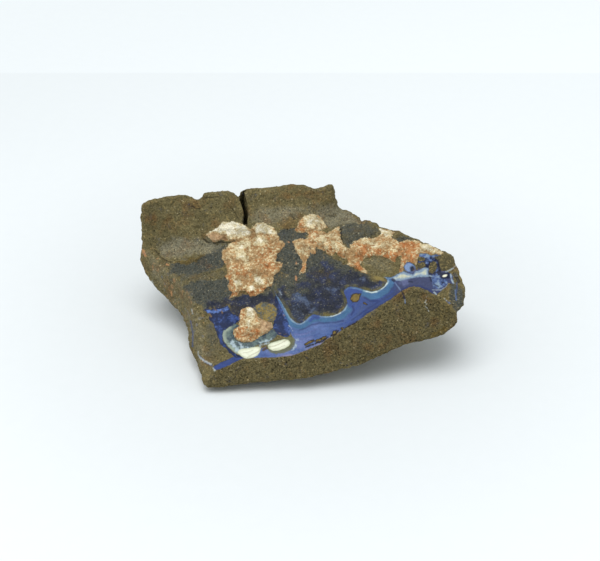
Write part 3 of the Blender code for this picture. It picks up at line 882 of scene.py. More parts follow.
@dataclass(frozen=True)
class BluePools:
    """Two pools of deep blue opal beside the lower clay."""

    left: Line = line(204.5, 309, 210, 309.6, 217.5, 308, 223, 306.8, 227, 305.4, 229.4, 308.4, 232, 313.4,
        240, 317.4, 239, 321.6, 235, 325.4, 229, 327.4, 225, 330.4, 222.6, 335, 223, 341, 227, 346.4, 232, 351,
        238, 355, 244, 358, 236, 358, 229.6, 353, 226, 348.6, 221.4, 345, 218, 339, 216, 331, 213, 323.6, 208.6, 319,
        209.5, 315.5)
    right: Line = line(275.4, 295.4, 279.5, 304, 284.6, 313.8, 288.7, 323, 291.5, 333, 288.7, 337.4, 282, 336.6,
        276.4, 334, 272.4, 328, 274.5, 318, 277, 309, 274.6, 303)
    deep: Colour = rgb(32, 43, 75)
    royal: Colour = rgb(54, 75, 130)
    sky: Colour = rgb(88, 116, 176)
    gold: Colour = rgb(140, 110, 62)
    royals: Stains = (
        stain(1.0, 2.0, 231, 315, 238, 316.5, 240, 319, 236, 323.5, 231, 322.5),
        stain(0.9, 2.0, 217, 328, 222, 328, 222, 340, 227, 347, 222, 345, 217.6, 338),
        stain(0.8, 1.8, 282, 322, 289, 324, 291, 334, 286, 333),
        stain(0.6, 1.8, 277, 300, 281.5, 306, 283, 313, 279, 311),
    )
    skies: Stains = (
        stain(1.0, 1.3, 206, 309.4, 214, 310.6, 222, 308, 228, 306.6, 229, 311, 222, 312.4, 213, 314, 207, 312),
        stain(0.6, 1.6, 287.5, 326, 291, 327, 292.4, 335, 289, 336),
        stain(0.5, 1.0, 281, 308, 285, 314, 287.6, 321, 285, 320),
    )
    specks: Strokes = (
        stroke(0.9, 208.6, 314, 211.6, 316.4),
        stroke(0.7, 221.6, 311, 222.4, 313.4),
        stroke(0.6, 214.6, 309.6, 217, 311),
        stroke(0.5, 277.8, 332, 281, 334.2),
        stroke(0.4, 283.4, 334.6, 286.4, 333.2),
        stroke(0.6, 283.6, 315.2, 284.4, 316),
    )

    def fields(self, chart: Chart) -> dict[str, np.ndarray]:
        """Measures the pools, their lighter parts and the rock showing in them.

        Args:
            chart: The surface points.

        Returns:
            The fields.
        """
        return {"pool": chart.inside(self.left, self.right, ragged=0.8),
                "pool_royal": chart.stain(*self.royals, ragged=1.0), "pool_sky": chart.stain(*self.skies, ragged=1.2),
                "pool_speck": chart.stroke(*self.specks, ragged=1.0)}

    def over(self, graph: Graph, under: Look) -> Look:
        """Fills the pools.

        Args:
            graph: The material's graph.
            under: The look below.

        Returns:
            The look with the pools in it.
        """
        fine = graph.noise(0.6 * MM, 2.0, 12.0)
        wave = graph.noise(2.0 * MM, 2.0, 13.0)
        royal = (graph.field("pool_royal") + fine.sway(1.2) + wave.sway(2.0)).rise(-0.15, 1.15)
        sky = (graph.field("pool_sky") + fine.sway(2.0) + wave.sway(1.2)).rise(0.1, 1.3)
        colour = graph.coats(self.deep, (self.royal, royal), (self.sky, sky))
        colour = graph.scaled(colour, 0.4 + fine * 0.8 + wave * 0.4)
        colour = graph.blend(colour, self.gold, (graph.field("pool_speck") + fine.sway(2.4)).rise(-0.5, 0.7) * 0.7)
        opal = Look(colour, 0.3 + fine * 0.1, 0.04, fine * (0.012 * MM))
        return under.under(graph, opal, (graph.field("pool") + fine.sway(1.6)).rise(-0.5, 0.5))


@dataclass(frozen=True)
class Nodule:
    """Grey opal that wraps the lower clay, the golden block beside it, and the two cream lenses under it."""

    block: Line = line(253, 309, 256, 305, 261, 303.6, 270, 303.4, 276, 307, 277, 313, 274.6, 320, 271, 323, 262, 321,
        257, 316)
    ring: Line = line(224, 331, 229, 327.4, 235, 324, 250, 330, 263, 334, 268, 331, 273, 329.5, 277.5, 334,
        276.4, 337, 270, 341, 262, 343.6, 255, 346, 250, 350, 243, 355, 236, 353, 230, 348.4, 224.6, 342, 222.4, 336)
    outer: Line = line(229.6, 327, 225, 330.6, 223.4, 335.4, 225.4, 341.4, 230.4, 347, 236, 351.4, 242, 356)
    lens_left: Line = line(238.6, 350, 243, 348.4, 249, 348.2, 255, 346.8, 259.6, 346.4, 261, 349, 259, 353.6,
        255, 357, 248, 358.6, 243.6, 358, 240, 355, 237.4, 352.4)
    lens_right: Line = line(268, 344.8, 271.6, 342.8, 279, 340.6, 285, 339, 289, 340.2, 290.4, 343.4, 288, 346.8,
        281, 349.8, 274.6, 351, 270, 349.6, 268, 347)
    halo: Line = line(266.4, 349, 270, 352.4, 276, 354.4, 284, 353.4, 290.4, 350.6, 295, 345.4, 296, 339.6,
        292.6, 336.4, 288, 336.6, 284, 338, 276, 340, 266.4, 343)
    sheens: Strokes = (
        stroke(2.2, 232, 343, 236, 348, 241, 351.6),
        stroke(1.2, 238, 343, 243, 347, 248, 347.6),
        stroke(0.9, 259.6, 347, 262, 344.4, 266, 343.2, 268.6, 342.8),
        stroke(0.6, 259, 342.4, 266, 341, 271.6, 338.6),
        stroke(0.6, 291.6, 350, 295.6, 345, 297, 339.6),
    )
    folds: Strokes = (
        stroke(0.55, 269, 346.8, 274.6, 346, 280.4, 343.6, 286.4, 340.2),
        stroke(0.4, 247.4, 357.6, 252, 354.6, 256.6, 352.6, 260, 350.4),
        stroke(0.35, 243, 353, 248, 352.4, 253, 350.2),
        stroke(0.35, 273, 349.4, 279, 348, 285, 345.4),
    )
    chips: Strokes = (
        stroke(1.3, 263.4, 350, 266.4, 348.2),
        stroke(0.6, 262.6, 332, 265, 329, 268.6, 328.4, 267.6, 331.6, 264, 333.4),
        stroke(0.6, 264, 321.6, 268, 322.8, 272, 321),
        stroke(0.5, 236, 339.4, 240, 341.4, 246, 342.4, 254, 340.4),
    )
    slate: Colour = rgb(66, 80, 88)
    grey: Colour = rgb(98, 114, 110)
    rim: Colour = rgb(148, 160, 144)
    olive: Colour = rgb(100, 102, 72)
    cream: Colour = rgb(206, 210, 182)
    chalk: Colour = rgb(236, 238, 214)
    sheen: Colour = rgb(176, 194, 202)
    fold: Colour = rgb(134, 116, 78)
    gold: Colour = rgb(142, 124, 76)
    dark: Colour = rgb(84, 66, 38)

    def fields(self, chart: Chart) -> dict[str, np.ndarray]:
        """Measures the block, the grey ring, the cream lenses and their fine lines.

        Args:
            chart: The surface points.

        Returns:
            The fields.
        """
        lenses = (rounded(self.lens_left, True), rounded(self.lens_right, True))
        return {"block": chart.inside(self.block, ragged=1.0), "ring": chart.inside(self.ring, ragged=0.6),
                "ring_edge": chart.stroke((0.0, self.outer), ragged=0.4), "cream": chart.inside(*lenses, ragged=0.15),
                "halo": chart.inside(self.halo, ragged=0.4), "sheen": chart.stroke(*self.sheens, ragged=0.6),
                "fold": chart.stroke(*self.folds, ragged=0.2), "nodule_chip": chart.stroke(*self.chips, ragged=0.5)}

    def over(self, graph: Graph, under: Look) -> Look:
        """Lays the nodule's parts.

        Args:
            graph: The material's graph.
            under: The look below.

        Returns:
            The look with the nodule in it.
        """
        fine = graph.noise(0.5 * MM, 2.0, 15.0)
        wave = graph.noise(1.8 * MM, 3.0, 16.0)
        rough = fine.sway(1.4)
        cream = graph.field("cream")
        grain = graph.part(graph.grains(0.4 * MM), 1)
        golden = graph.blend(self.gold, self.slate, (wave + rough * 0.3 + grain.sway(0.4)).rise(0.42, 0.66) * 0.8)
        golden = Look(graph.scaled(golden, 0.15 + fine * 1.4 + grain * 0.3), 0.7, 0.0, under.height)
        look = under.under(graph, golden, (graph.field("block") + rough * 1.4).rise(-0.7, 0.5))
        slate = graph.coats(
            self.slate,
            (self.grey, (wave + fine * 0.4).rise(0.55, 0.85)),
            (self.rim, graph.field("ring_edge").rise(-3.6, -0.4) * wave.rise(0.25, 0.5)))
        grey = Look(graph.scaled(slate, 0.7 + fine * 0.6), 0.35, 0.08, fine * (0.015 * MM))
        look = look.under(graph, grey, (graph.field("ring") + rough).rise(-0.8, 0.6))
        olive = Look(graph.scaled(self.olive, 0.65 + fine * 0.7), 0.35, 0.08, 0.0)
        look = look.under(graph, olive, (graph.field("halo") + rough).rise(-0.6, 1.2) * 0.9)
        sheen = (graph.field("sheen") + rough * 1.6 + graph.noise(1.0 * MM, 3.0, 17.0).sway(7.0)).rise(-0.8, 1.4)
        look = look.painted(graph, (self.sheen, sheen * 0.85))
        chalk = graph.coats(
            self.cream,
            (self.chalk, (cream + wave.sway(3.0) + rough).rise(0.2, 2.6)),
            (self.fold, (graph.field("fold") + rough * 0.6).rise(-0.7, 0.7) * 0.5))
        look = look.under(graph, Look(chalk, 0.3, 0.08, 0.0), (cream + rough * 0.7).rise(-0.6, 0.5))
        chip = Look(graph.scaled(self.dark, 0.4 + fine * 1.2), 0.7, 0.0, fine * (0.05 * MM))
        return look.under(graph, chip, (graph.field("nodule_chip") + rough).rise(-0.6, 0.5) * 0.85)


@dataclass(frozen=True)
class RightEnd:
    """The broken-up opal at the right end: a cream band, a blue knob, an eye, and rock showing between."""

    band: Line = line(391, 278.4, 395, 275.8, 400, 272.4, 404, 271, 408, 273, 413, 274.6, 415.7, 271.4, 420, 270,
        423.4, 267.4, 427.7, 268.4, 428, 272.6, 428.6, 276.6, 421, 276.9, 414, 277.6, 408, 279, 400, 280.6,
        395, 280.6)
    knob: Line = line(403.4, 266, 404.4, 263.6, 407, 262.2, 410.8, 262.4, 414.2, 264.6, 415.8, 268, 415, 271.4,
        411.4, 273, 407, 271.6, 404.4, 269.2)
    core: Line = line(409.8, 267, 411.8, 265.4, 414.4, 266.4, 415.4, 269.6, 413.6, 271.6, 410.4, 271.4)
    skies: Lines = (
        line(418, 256.4, 420, 254.2, 426, 254, 432.6, 255.4, 439, 254, 440.6, 255, 433, 257.4, 432, 260.6, 429, 261.4,
            427.6, 258, 421, 256.8),
        line(425.4, 259.6, 427.6, 260, 427.8, 264.6, 425.6, 264.6),
        line(432, 274, 437, 273.4, 441, 279, 447, 279.6, 447.6, 283, 443, 286.6, 438, 288.6, 433, 287.6, 432, 281),
        line(449.8, 273.4, 452, 274.4, 453, 279, 453.4, 284, 451.6, 281, 450, 277.6),
    )
    gaps: Lines = (
        line(418, 260, 425, 256.6, 433, 258, 438, 256, 440.6, 262, 441, 272, 450, 272.6, 450.4, 278.6, 440, 280,
            433, 281, 428, 277, 427.6, 271, 425, 268.6, 418, 268.6),
    )
    rocks: Lines = (
        line(418.6, 258.4, 422, 257.4, 425, 258, 424.4, 260.6, 420, 261.4, 418.2, 260.6),
        line(418.4, 263, 423.4, 262.2, 426, 264.4, 425.6, 267.4, 420.6, 268.8, 417.6, 267),
        line(430, 263.4, 433.4, 261.2, 436.6, 262, 437.4, 266.6, 435.4, 270.6, 432.4, 273.6, 429, 272.4,
            428.8, 267.6),
        line(434.6, 258.4, 438, 255.8, 445, 254.4, 451, 256.6, 455.4, 261.4, 455, 265, 450.6, 268.6, 445.6, 270.8,
            441, 271.6, 439.4, 266.6, 438, 260.6),
    )
    eye: Line = line(442.2, 276.2, 443.6, 274.8, 446.6, 274.2, 447.6, 275, 446, 276.8, 443.6, 277.2)
    lid: Line = line(439.8, 276, 442.6, 273.4, 449.4, 273, 450, 275.8, 446.6, 278.6, 441.6, 278.8)
    pales: Strokes = (
        stroke(0.75, 417.6, 274.4, 420, 274, 422, 274),
        stroke(0.6, 446, 271.8, 450, 270.2, 453.4, 268),
        stroke(0.3, 453.4, 268, 455.4, 266, 456.8, 263.6),
        stroke(0.7, 450.8, 274, 451.4, 278, 453, 283),
        stroke(0.3, 432.6, 289.6, 437, 290, 441, 289.8, 445, 287.6, 448, 284),
        stroke(0.7, 434, 292, 436.4, 294.4),
        stroke(0.5, 432.6, 276.4, 429, 275.8),
    )
    darks: Strokes = (
        stroke(1.3, 392.6, 279.6, 394.4, 280.6),
        stroke(0.6, 401, 290.6, 403, 294.6, 404.6, 298.6),
        stroke(1.0, 403.4, 295.6, 404.6, 298.4),
        stroke(0.9, 430.6, 278.4, 431.6, 281),
        stroke(0.6, 409, 281.4, 412.6, 282.2),
        stroke(0.6, 438.2, 260, 439.2, 266, 440.4, 271),
        stroke(0.6, 433.4, 284, 438, 286),
    )
    hairs: Strokes = (
        stroke(0.45, 394.4, 281.4, 397, 285.6, 401, 290.8),
        stroke(0.5, 404.8, 299, 405.4, 303),
        stroke(0.5, 449, 302, 450, 304),
        stroke(0.5, 455.2, 290, 456, 296, 456.6, 300),
    )
    cream: Colour = rgb(188, 194, 178)
    butter: Colour = rgb(194, 184, 138)
    grey: Colour = rgb(128, 148, 168)
    pearl: Colour = rgb(168, 182, 188)
    sky: Colour = rgb(82, 104, 150)
    mist: Colour = rgb(120, 142, 178)
    night: Colour = rgb(28, 34, 58)
    umber: Colour = rgb(84, 66, 56)
    bone: Colour = rgb(238, 236, 210)
    earth: Colour = rgb(84, 78, 56)
    sand: Colour = rgb(128, 114, 76)

    def fields(self, chart: Chart) -> dict[str, np.ndarray]:
        """Measures the parts of the right end.

        Args:
            chart: The surface points.

        Returns:
            The fields.
        """
        return {"band": chart.inside(self.band, ragged=0.4), "knob": chart.inside(rounded(self.knob, True)),
                "core": chart.inside(self.core, ragged=0.4), "end_blue": chart.inside(*self.skies, ragged=0.9),
                "end_gap": chart.inside(*self.gaps, ragged=0.9), "end_rock": chart.inside(*self.rocks, ragged=0.6),
                "eye": chart.inside(self.eye), "lid": chart.inside(self.lid, ragged=0.3),
                "end_pale": chart.stroke(*self.pales, ragged=0.6), "end_dark": chart.stroke(*self.darks, ragged=0.6),
                "end_hair": chart.stroke(*self.hairs, ragged=0.4)}

    def over(self, graph: Graph, under: Look) -> Look:
        """Lays the parts of the right end.

        Args:
            graph: The material's graph.
            under: The look below.

        Returns:
            The look with the right end in it.
        """
        fine = graph.noise(0.5 * MM, 2.0, 21.0)
        wave = graph.noise(1.3 * MM, 3.0, 22.0)
        rough = fine.sway(1.6) + wave.sway(1.4)
        gloss = 0.3 + fine * 0.1

        def part(look: Look, name: str, colour: "Wire | Colour", soft: float = 0.6) -> Look:
            """Lays one glossy part."""
            shade = graph.scaled(colour, 0.65 + fine * 0.7)
            return look.under(graph, Look(shade, gloss, 0.08, 0.0), (graph.field(name) + rough).rise(-soft, soft))

        within = graph.field("band") + wave.sway(5.0)
        blues = graph.coats(
            self.night,
            (self.sky, (wave + rough * 0.05).rise(0.3, 0.5)),
            (self.grey, wave.rise(0.47, 0.66)))
        cream = graph.coats(
            self.grey,
            (self.cream, within.rise(1.0, 3.4)),
            (self.butter, within.rise(2.4, 4.4) * 0.6))
        look = part(under, "end_gap", graph.blend(self.night, self.sky, wave.rise(0.5, 0.7)))
        look = part(look, "end_blue", blues, 0.9)
        look = part(look, "band", cream, 1.0)
        look = part(look, "knob", graph.blend(self.sky, self.mist, (graph.field("knob") + rough * 0.5).rise(0.0, 1.6)))
        look = part(look, "core", graph.blend(self.night, self.umber, wave.rise(0.44, 0.6)), 1.2)
        look = look.under(graph, self.rock(graph, under), (graph.field("end_rock") + rough).rise(-0.5, 0.5))
        return part(look, "lid", self.night).painted(
            graph,
            (self.bone, (graph.field("eye") + rough * 0.3).rise(-0.5, 0.6)),
            (self.pearl, (graph.field("end_pale") + rough * 0.6).rise(-0.6, 0.6) * 0.75),
            (self.mist, (graph.field("end_hair") + rough * 0.4).rise(-0.6, 0.4) * 0.6),
            (self.night, (graph.field("end_dark") + rough * 0.6).rise(-0.6, 0.5) * 0.85))

    def rock(self, graph: Graph, under: Look) -> Look:
        """Makes the brown rock that shows inside the opal.

        Args:
            graph: The material's graph.
            under: The look of the stone.

        Returns:
            The rock's look, with the stone's own relief.
        """
        fine = graph.noise(0.45 * MM, 2.0, 31.0)
        warm = graph.part(graph.grains(0.32 * MM), 0)
        colour = graph.blend(self.earth, self.sand, (fine + warm.sway(0.6)).rise(0.45, 0.95))
        return Look(graph.scaled(colour, 0.55 + fine * 0.9), 0.75, 0.0, under.height)


@dataclass(frozen=True)
class Inclusions:
    """Chips of rock caught in the seam, hairline veins that cross the stone, and a painted glint on a glassy patch."""

    chips: Lines = (
        line(351, 295.5, 355, 293.2, 361.4, 293.2, 360.2, 296.6, 357.4, 301.8, 352.8, 303, 350.8, 299.5),
        line(363, 301.6, 365.4, 302.6, 369, 306.4, 366, 305.6, 363.4, 303.6),
        line(315, 341.6, 318, 339, 323, 336.6, 326.6, 335.6, 326, 338.2, 321, 341, 317, 342.6),
        line(304, 344, 308, 341, 314, 339.4, 314.6, 341.6, 309, 344.4, 305, 346),
        line(332, 333.6, 333.4, 331, 336.8, 330, 336.4, 332.6, 334, 334.6),
        line(340, 329, 341.4, 327, 343.6, 327.2, 342.6, 329.6),
    )
    crumbs: Strokes = (
        stroke(0.7, 315, 343.6, 321, 342, 327.6, 337.6),
        stroke(0.6, 306, 346.6, 313, 344.4),
        stroke(0.7, 331, 335.4, 335.6, 334.2, 338, 330.6),
        stroke(0.5, 344.6, 328.6, 350, 325.6),
        stroke(0.5, 352, 324.6, 358, 321),
    )
    tip: Line = line(372.6, 277.2, 375, 276, 379.6, 276.4, 384, 278.6, 385.4, 281.4, 382, 281.2, 376.6, 279.4)
    white: Strokes = (
        stroke(0.1, 427.6, 295.4, 425.2, 298.6, 426.4, 300.6, 424.4, 302.4, 426.6, 304, 425, 306, 427.2, 307.8,
            429.2, 311.6),
        stroke(0.8, 200.6, 358, 203.4, 360.6, 207, 362, 211.3, 364.4),
        stroke(0.5, 198, 351.6, 198.4, 355.7, 200.6, 358),
        stroke(0.45, 191.6, 309.4, 192.6, 314),
        stroke(0.45, 444.2, 298.4, 446, 300.6),
        stroke(0.7, 213.4, 368, 215, 371),
        # painted highlight: a white glint on the black glassy patch
        stroke(0.5, 455.8, 275, 456.8, 276),
        stroke(0.3, 284, 315.2, 284.6, 316),
        stroke(0.2, 288.6, 325, 291, 327.4, 292.6, 331),
        stroke(0.4, 279.4, 291.4, 281.6, 294.6),
        stroke(0.4, 151.6, 281, 153, 283),
    )
    blue: Strokes = (
        stroke(0.6, 190.7, 321, 193, 334, 192.5, 346),
        stroke(0.8, 199, 356, 205, 361.4, 212, 365.6),
        stroke(0.5, 446.6, 301, 449, 303.4),
        stroke(0.6, 457, 282, 456, 300),
    )
    glassy: Strokes = (
        stroke(1.7, 454.6, 274, 456.6, 277.6, 458.6, 281.6),
    )

    edge: Colour = rgb(48, 42, 36)
    tan: Colour = rgb(122, 104, 60)
    ochre: Colour = rgb(140, 124, 76)
    vein_blue: Colour = rgb(74, 92, 136)
    vein_and_glint_white: Colour = rgb(190, 196, 192)
    glass: Colour = rgb(30, 30, 30)

    def fields(self, chart: Chart) -> dict[str, np.ndarray]:
        """Measures the chips and veins.

        Args:
            chart: The surface points.

        Returns:
            The fields.
        """
        return {"chip": chart.inside(*self.chips, ragged=0.8), "chip_edge": chart.stroke(*self.crumbs, ragged=0.8),
                "tip": chart.inside(self.tip, ragged=0.4), "white_vein": chart.stroke(*self.white, ragged=0.4),
                "blue_vein": chart.stroke(*self.blue, ragged=0.4), "glassy": chart.stroke(*self.glassy, ragged=0.5)}

    def over(self, graph: Graph, under: Look) -> Look:
        """Lays the chips and veins.

        Args:
            graph: The material's graph.
            under: The look below.

        Returns:
            The look with the chips and veins in it.
        """
        fine = graph.noise(0.5 * MM, 2.0, 41.0)
        rough = fine - 0.5
        chip = graph.field("chip")
        tan = graph.blend(self.edge, self.tan, (chip + rough * 3.0).rise(0.0, 1.6))
        stone = Look(graph.scaled(tan, 0.6 + fine * 0.8), 0.7, 0.0, fine * (0.05 * MM))
        look = under.under(graph, stone, (chip.most(graph.field("chip_edge")) + rough * 1.6).rise(-0.6, 0.4)).painted(
            graph,
            (self.ochre, (graph.field("tip") + rough * 2.0).rise(-0.6, 0.8) * 0.9),
            (self.vein_blue, (graph.field("blue_vein") + rough * 1.6).rise(-0.7, 0.5) * 0.6),
            # white veins, and one painted glint
            (self.vein_and_glint_white, (graph.field("white_vein") + rough * 2.4).rise(-0.6, 0.5) * 0.65))
        dark = Look(self.glass, 0.25, 0.3, 0.0)
        return look.under(graph, dark, (graph.field("glassy") + rough * 1.6).rise(-0.6, 0.6) * 0.8)


@dataclass(frozen=True)
class ClayCrust:
    """The baked clay that stands on the rock in crumbly patches, cream on its knobs and orange between them."""

    patches: Lines = (
        line(206, 234.8, 214, 229.5, 221.4, 225, 222.3, 222, 233, 221.4, 242, 223.7, 248, 227.7, 254.5, 233,
            252.7, 237.5, 244.6, 239.3, 235.7, 240.6, 229.5, 239.3, 213.4, 242, 209, 238.4),
        line(253.6, 226.8, 257, 222.8, 262.5, 222, 268.8, 225.4, 274, 228.6, 277.7, 234, 270, 240, 252, 239,
            249, 232),
        line(277.7, 234, 278.6, 240, 284, 242, 284.8, 246.4, 280.4, 250, 276.8, 255.4, 276, 260.7, 283, 263.4,
            279.5, 270.5, 274, 275, 274, 280.4, 271.4, 285.7, 266, 288.4, 262.5, 292, 258, 295, 250, 295.5,
            245.5, 291, 240.2, 290.2, 236.6, 295.5, 228.6, 298.7, 232, 293, 228.6, 287.5, 229.5, 280.4, 225, 276.8,
            228.6, 274, 226, 265, 221.4, 259.8, 222.3, 251, 226.8, 247.3, 230.4, 243, 244, 238, 262, 236),
        line(295, 230, 300, 219, 303.8, 215.5, 312.8, 214, 319, 215.5, 323.6, 219.7, 325.5, 226, 326.8, 229, 321, 229,
            315, 230.5, 309.6, 233, 300, 232),
        line(292, 241, 300, 242, 309.6, 245.8, 310, 254.7, 306.4, 262, 305.7, 272, 300, 274, 303, 262, 297, 253),
        line(309, 232, 315, 229.5, 322, 231, 327, 233, 330.6, 232, 335.7, 228, 339.5, 226.7, 340, 235.6, 341.5, 240.7,
            344.6, 246.5, 349.7, 250.3, 350.4, 245.8, 354, 242, 359, 239.4, 364, 237.5, 371, 238, 376.5, 238,
            382, 233, 378.4, 228, 388, 229.6, 395, 232, 391.5, 237, 399, 242.6, 405, 241, 413, 240, 420, 241,
            420.6, 243.4, 427, 244, 435, 248, 443, 252, 443.5, 253.7, 432.8, 254, 419.8, 253.3, 417.5, 258.7,
            416.7, 264.8, 412, 261.7, 406, 262, 403.6, 267, 403, 271, 399.4, 272, 401, 262, 402, 255.6, 394, 258.7,
            396, 261.7, 390, 260, 384.6, 256.4, 373, 254.7, 365, 258, 359, 264, 366, 270, 367.4, 274, 362, 272,
            356.8, 268, 354.8, 267.5, 347, 265, 347.8, 261, 340.8, 257, 335.7, 252, 332, 255.4, 324, 251, 316.6, 246,
            315.3, 254, 312, 254, 310, 245.8, 300, 242, 292, 241, 300, 238.6, 307.7, 239),
        line(241.6, 309.3, 246, 307.6, 251.4, 308, 256, 312, 257.7, 317.3, 264, 320, 272, 322.7, 272, 327,
            268.4, 332.5, 260.4, 336, 254, 340.5, 244.3, 342.3, 237, 339.6, 233, 334.3, 233.6, 330.7, 239, 325.4,
            239.4, 320, 238.5, 314.6),
    )
    whites: Stains = (
        stain(1.0, 2.0, 208, 233.6, 222, 222, 234, 221, 246, 227, 252, 235, 240, 238, 228, 236, 224, 232, 214, 232),
        stain(0.9, 2.0, 254, 227, 262, 222, 270, 226, 277, 234, 266, 236, 256, 232),
        stain(0.8, 2.0, 254, 238, 262, 236, 267, 242, 262, 245, 255, 244),
        stain(0.7, 3.0, 303, 217, 312, 214, 320, 217, 325, 226, 314, 228, 306, 226),
        stain(0.6, 2.5, 228, 246, 244, 240, 252, 242, 250, 250, 236, 250),
        stain(0.6, 2.0, 234, 254, 242, 252, 249, 256, 248, 262, 240, 258, 235, 260),
        stain(0.9, 1.6, 234, 281, 240, 281, 241, 285, 235, 285),
        stain(1.0, 1.6, 249, 284, 254, 285, 254, 290, 249, 289),
        stain(0.8, 2.0, 254, 274, 261, 276, 262, 284, 256, 283),
        stain(0.55, 3.0, 300, 244, 309, 247, 307, 256, 301, 252),
        stain(0.3, 3.0, 310, 233, 326, 234, 338, 230, 340, 240, 346, 250, 336, 248, 322, 246),
        stain(0.8, 2.5, 420, 243, 428, 245, 442, 252, 436, 253, 422, 249),
        stain(0.8, 2.0, 379, 228, 388, 230, 394, 233, 386, 236, 380, 234),
        stain(0.5, 3.0, 364, 238, 372, 239, 384, 246, 376, 248, 364, 244),
        stain(1.0, 1.8, 245, 308, 252, 308, 255, 313, 254, 318, 248, 317),
        stain(0.9, 1.6, 245, 319, 250, 320, 252, 326, 247, 328),
        stain(0.7, 1.2, 250, 332, 254, 332, 253, 335, 250, 335),
    )
    oranges: Stains = (
        stain(0.5, 6.0, 256, 246, 272, 246, 280, 244, 276, 256, 280, 266, 272, 276, 264, 270, 254, 262),
        stain(0.4, 5.0, 228, 262, 244, 262, 252, 270, 250, 282, 240, 276, 228, 274),
        stain(0.8, 3.0, 226, 276, 232, 272, 234, 290, 240, 290, 234, 299, 228, 298, 229, 286),
        stain(0.7, 3.0, 244, 289, 260, 288, 270, 282, 268, 289, 256, 295, 246, 294),
        stain(0.7, 2.5, 275, 262, 284, 262, 279, 270, 274, 270),
        stain(0.8, 2.5, 294, 226, 302, 222, 306, 230, 298, 233),
        stain(0.9, 2.0, 299, 266, 306, 264, 306, 274, 299, 274),
        stain(0.6, 3.0, 307, 232, 316, 230, 320, 238, 312, 244, 306, 240),
        stain(0.9, 2.5, 354, 264, 359, 260, 368, 272, 366, 275, 356, 269),
        stain(0.8, 3.0, 356, 244, 372, 246, 384, 252, 398, 250, 404, 256, 396, 262, 376, 256, 358, 262),
        stain(0.9, 3.0, 396, 244, 412, 242, 420, 246, 418, 258, 416, 266, 404, 262, 402, 272, 398, 270, 402, 256),
        stain(0.6, 3.0, 328, 244, 340, 248, 346, 258, 338, 256, 328, 250),
        stain(0.8, 2.5, 232, 330, 240, 322, 246, 328, 258, 326, 262, 334, 250, 342, 238, 341, 232, 336),
        stain(0.7, 1.6, 239, 311, 243, 309, 245, 316, 240, 322),
    )
    tans: Stains = (
        stain(1.0, 2.0, 260, 320, 272, 323, 272, 328, 266, 334, 261, 332),
        stain(0.9, 1.4, 206, 235, 212, 233.6, 224, 235, 226, 240, 212, 242),
    )
    white: Colour = rgb(244, 236, 212)
    cream: Colour = rgb(224, 208, 166)
    tan: Colour = rgb(192, 156, 110)
    orange: Colour = rgb(195, 136, 87)
    red: Colour = rgb(178, 104, 58)
    side: Colour = rgb(196, 162, 126)
    step: float = 0.3 * MM
    crumb_size: float = 1.05 * MM
    lump_size: float = 2.8 * MM
    grit_size: float = 0.8 * MM
    crumb_shake: float = 0.12  # this and the heights below are in millimetres
    crumb_height: float = 0.24
    lump_height: float = 0.45
    loose_height: float = 0.4
    grit_height: float = 0.16
    ragged: float = 1.4

    def fields(self, chart: Chart) -> dict[str, np.ndarray]:
        """Measures the clay, and where it is white, orange or tan.

        Args:
            chart: The surface points.

        Returns:
            The fields.
        """
        return {"clay": chart.inside(*self.patches, ragged=self.ragged),
                "clay_white": chart.stain(*self.whites, ragged=2.2),
                "clay_orange": chart.stain(*self.oranges, ragged=3.0),
                "clay_tan": chart.stain(*self.tans, ragged=1.0)}

    def relief(self, chart: Chart) -> tuple[np.ndarray, np.ndarray]:
        """Works out how far the clay stands out.

        Args:
            chart: The surface points.

        Returns:
            The lift at each point in metres, and how high each crumb is from 0 to 1, which the material turns into
            painted light and shade.
        """
        reach = ease(chart.inside(*self.patches, ragged=self.ragged), -0.6, 1.8)
        held = np.flatnonzero(reach > 0.0)
        cells = (chart.places[held] + chart.shake[held, :1] * self.crumb_shake * MM) / self.crumb_size
        crumbs = np.zeros(len(reach))
        for index, cell in zip(held, cells.tolist()):
            nearest = noise.voronoi(cell)[0]
            crumbs[index] = min((nearest[1] - nearest[0]) * 2.2, 1.0)
        lumps = turbulence(chart.places, self.lump_size, 4, 4.9)
        grit = turbulence(chart.places, self.grit_size, 2, 1.9)
        loose = 1.0 - ease(chart.stain(*self.whites), 0.3, 0.9) * 0.75
        lift = self.step + (crumbs - 0.5) * loose * self.crumb_height * MM
        lift = lift + lumps * (self.lump_height + loose * self.loose_height) * MM
        lift = lift + grit * loose * self.grit_height * MM
        crumb = 0.52 + (crumbs - 0.5) * loose * 0.45 + lumps * 0.65 + grit * loose * 0.5
        return reach * lift, np.clip(crumb, 0.0, 1.0)

    def over(self, graph: Graph, under: Look) -> Look:
        """Lays the clay.

        Args:
            graph: The material's graph.
            under: The look below.

        Returns:
            The look with the clay on it.
        """
        crumb, white = graph.field("crumb"), graph.field("clay_white")
        hue = graph.noise(1.5 * MM, 4.0, 51.0)
        fine = graph.noise(0.42 * MM, 3.0, 52.0)
        cell = graph.grains(0.62 * MM)
        chance, other = graph.part(cell, 0), graph.part(cell, 1)
        lean = chance.sway(0.6) + hue.sway(1.2) + fine.sway(1.3)
        pale = white + lean + crumb.sway(0.4)
        warm = graph.field("clay_orange") * 0.75 - white * 0.3 - lean + other.sway(0.6)
        colour = graph.coats(
            self.tan,
            (self.cream, pale.rise(-0.1, 0.55)),
            (self.orange, warm.rise(0.15, 0.85)),
            (self.white, pale.rise(0.6, 1.15)),
            (self.red, warm.rise(0.75, 1.35) * 0.7),
            (self.side, graph.field("clay_tan") * 0.75))
        # painted light and shade: the clay is lighter on the tops of its crumbs and lumps and darker in the crevices
        # between them
        colour = graph.scaled(colour, 0.22 + crumb * 0.44 + fine * 0.8)
        crust = Look(colour, 0.9, 0.0, fine * (0.2 * MM) + chance * (0.06 * MM))
        return under.under(graph, crust, (graph.field("clay") + fine.sway(2.2)).rise(-0.6, 0.4))


# ---------------------------------------------------------------- the stone


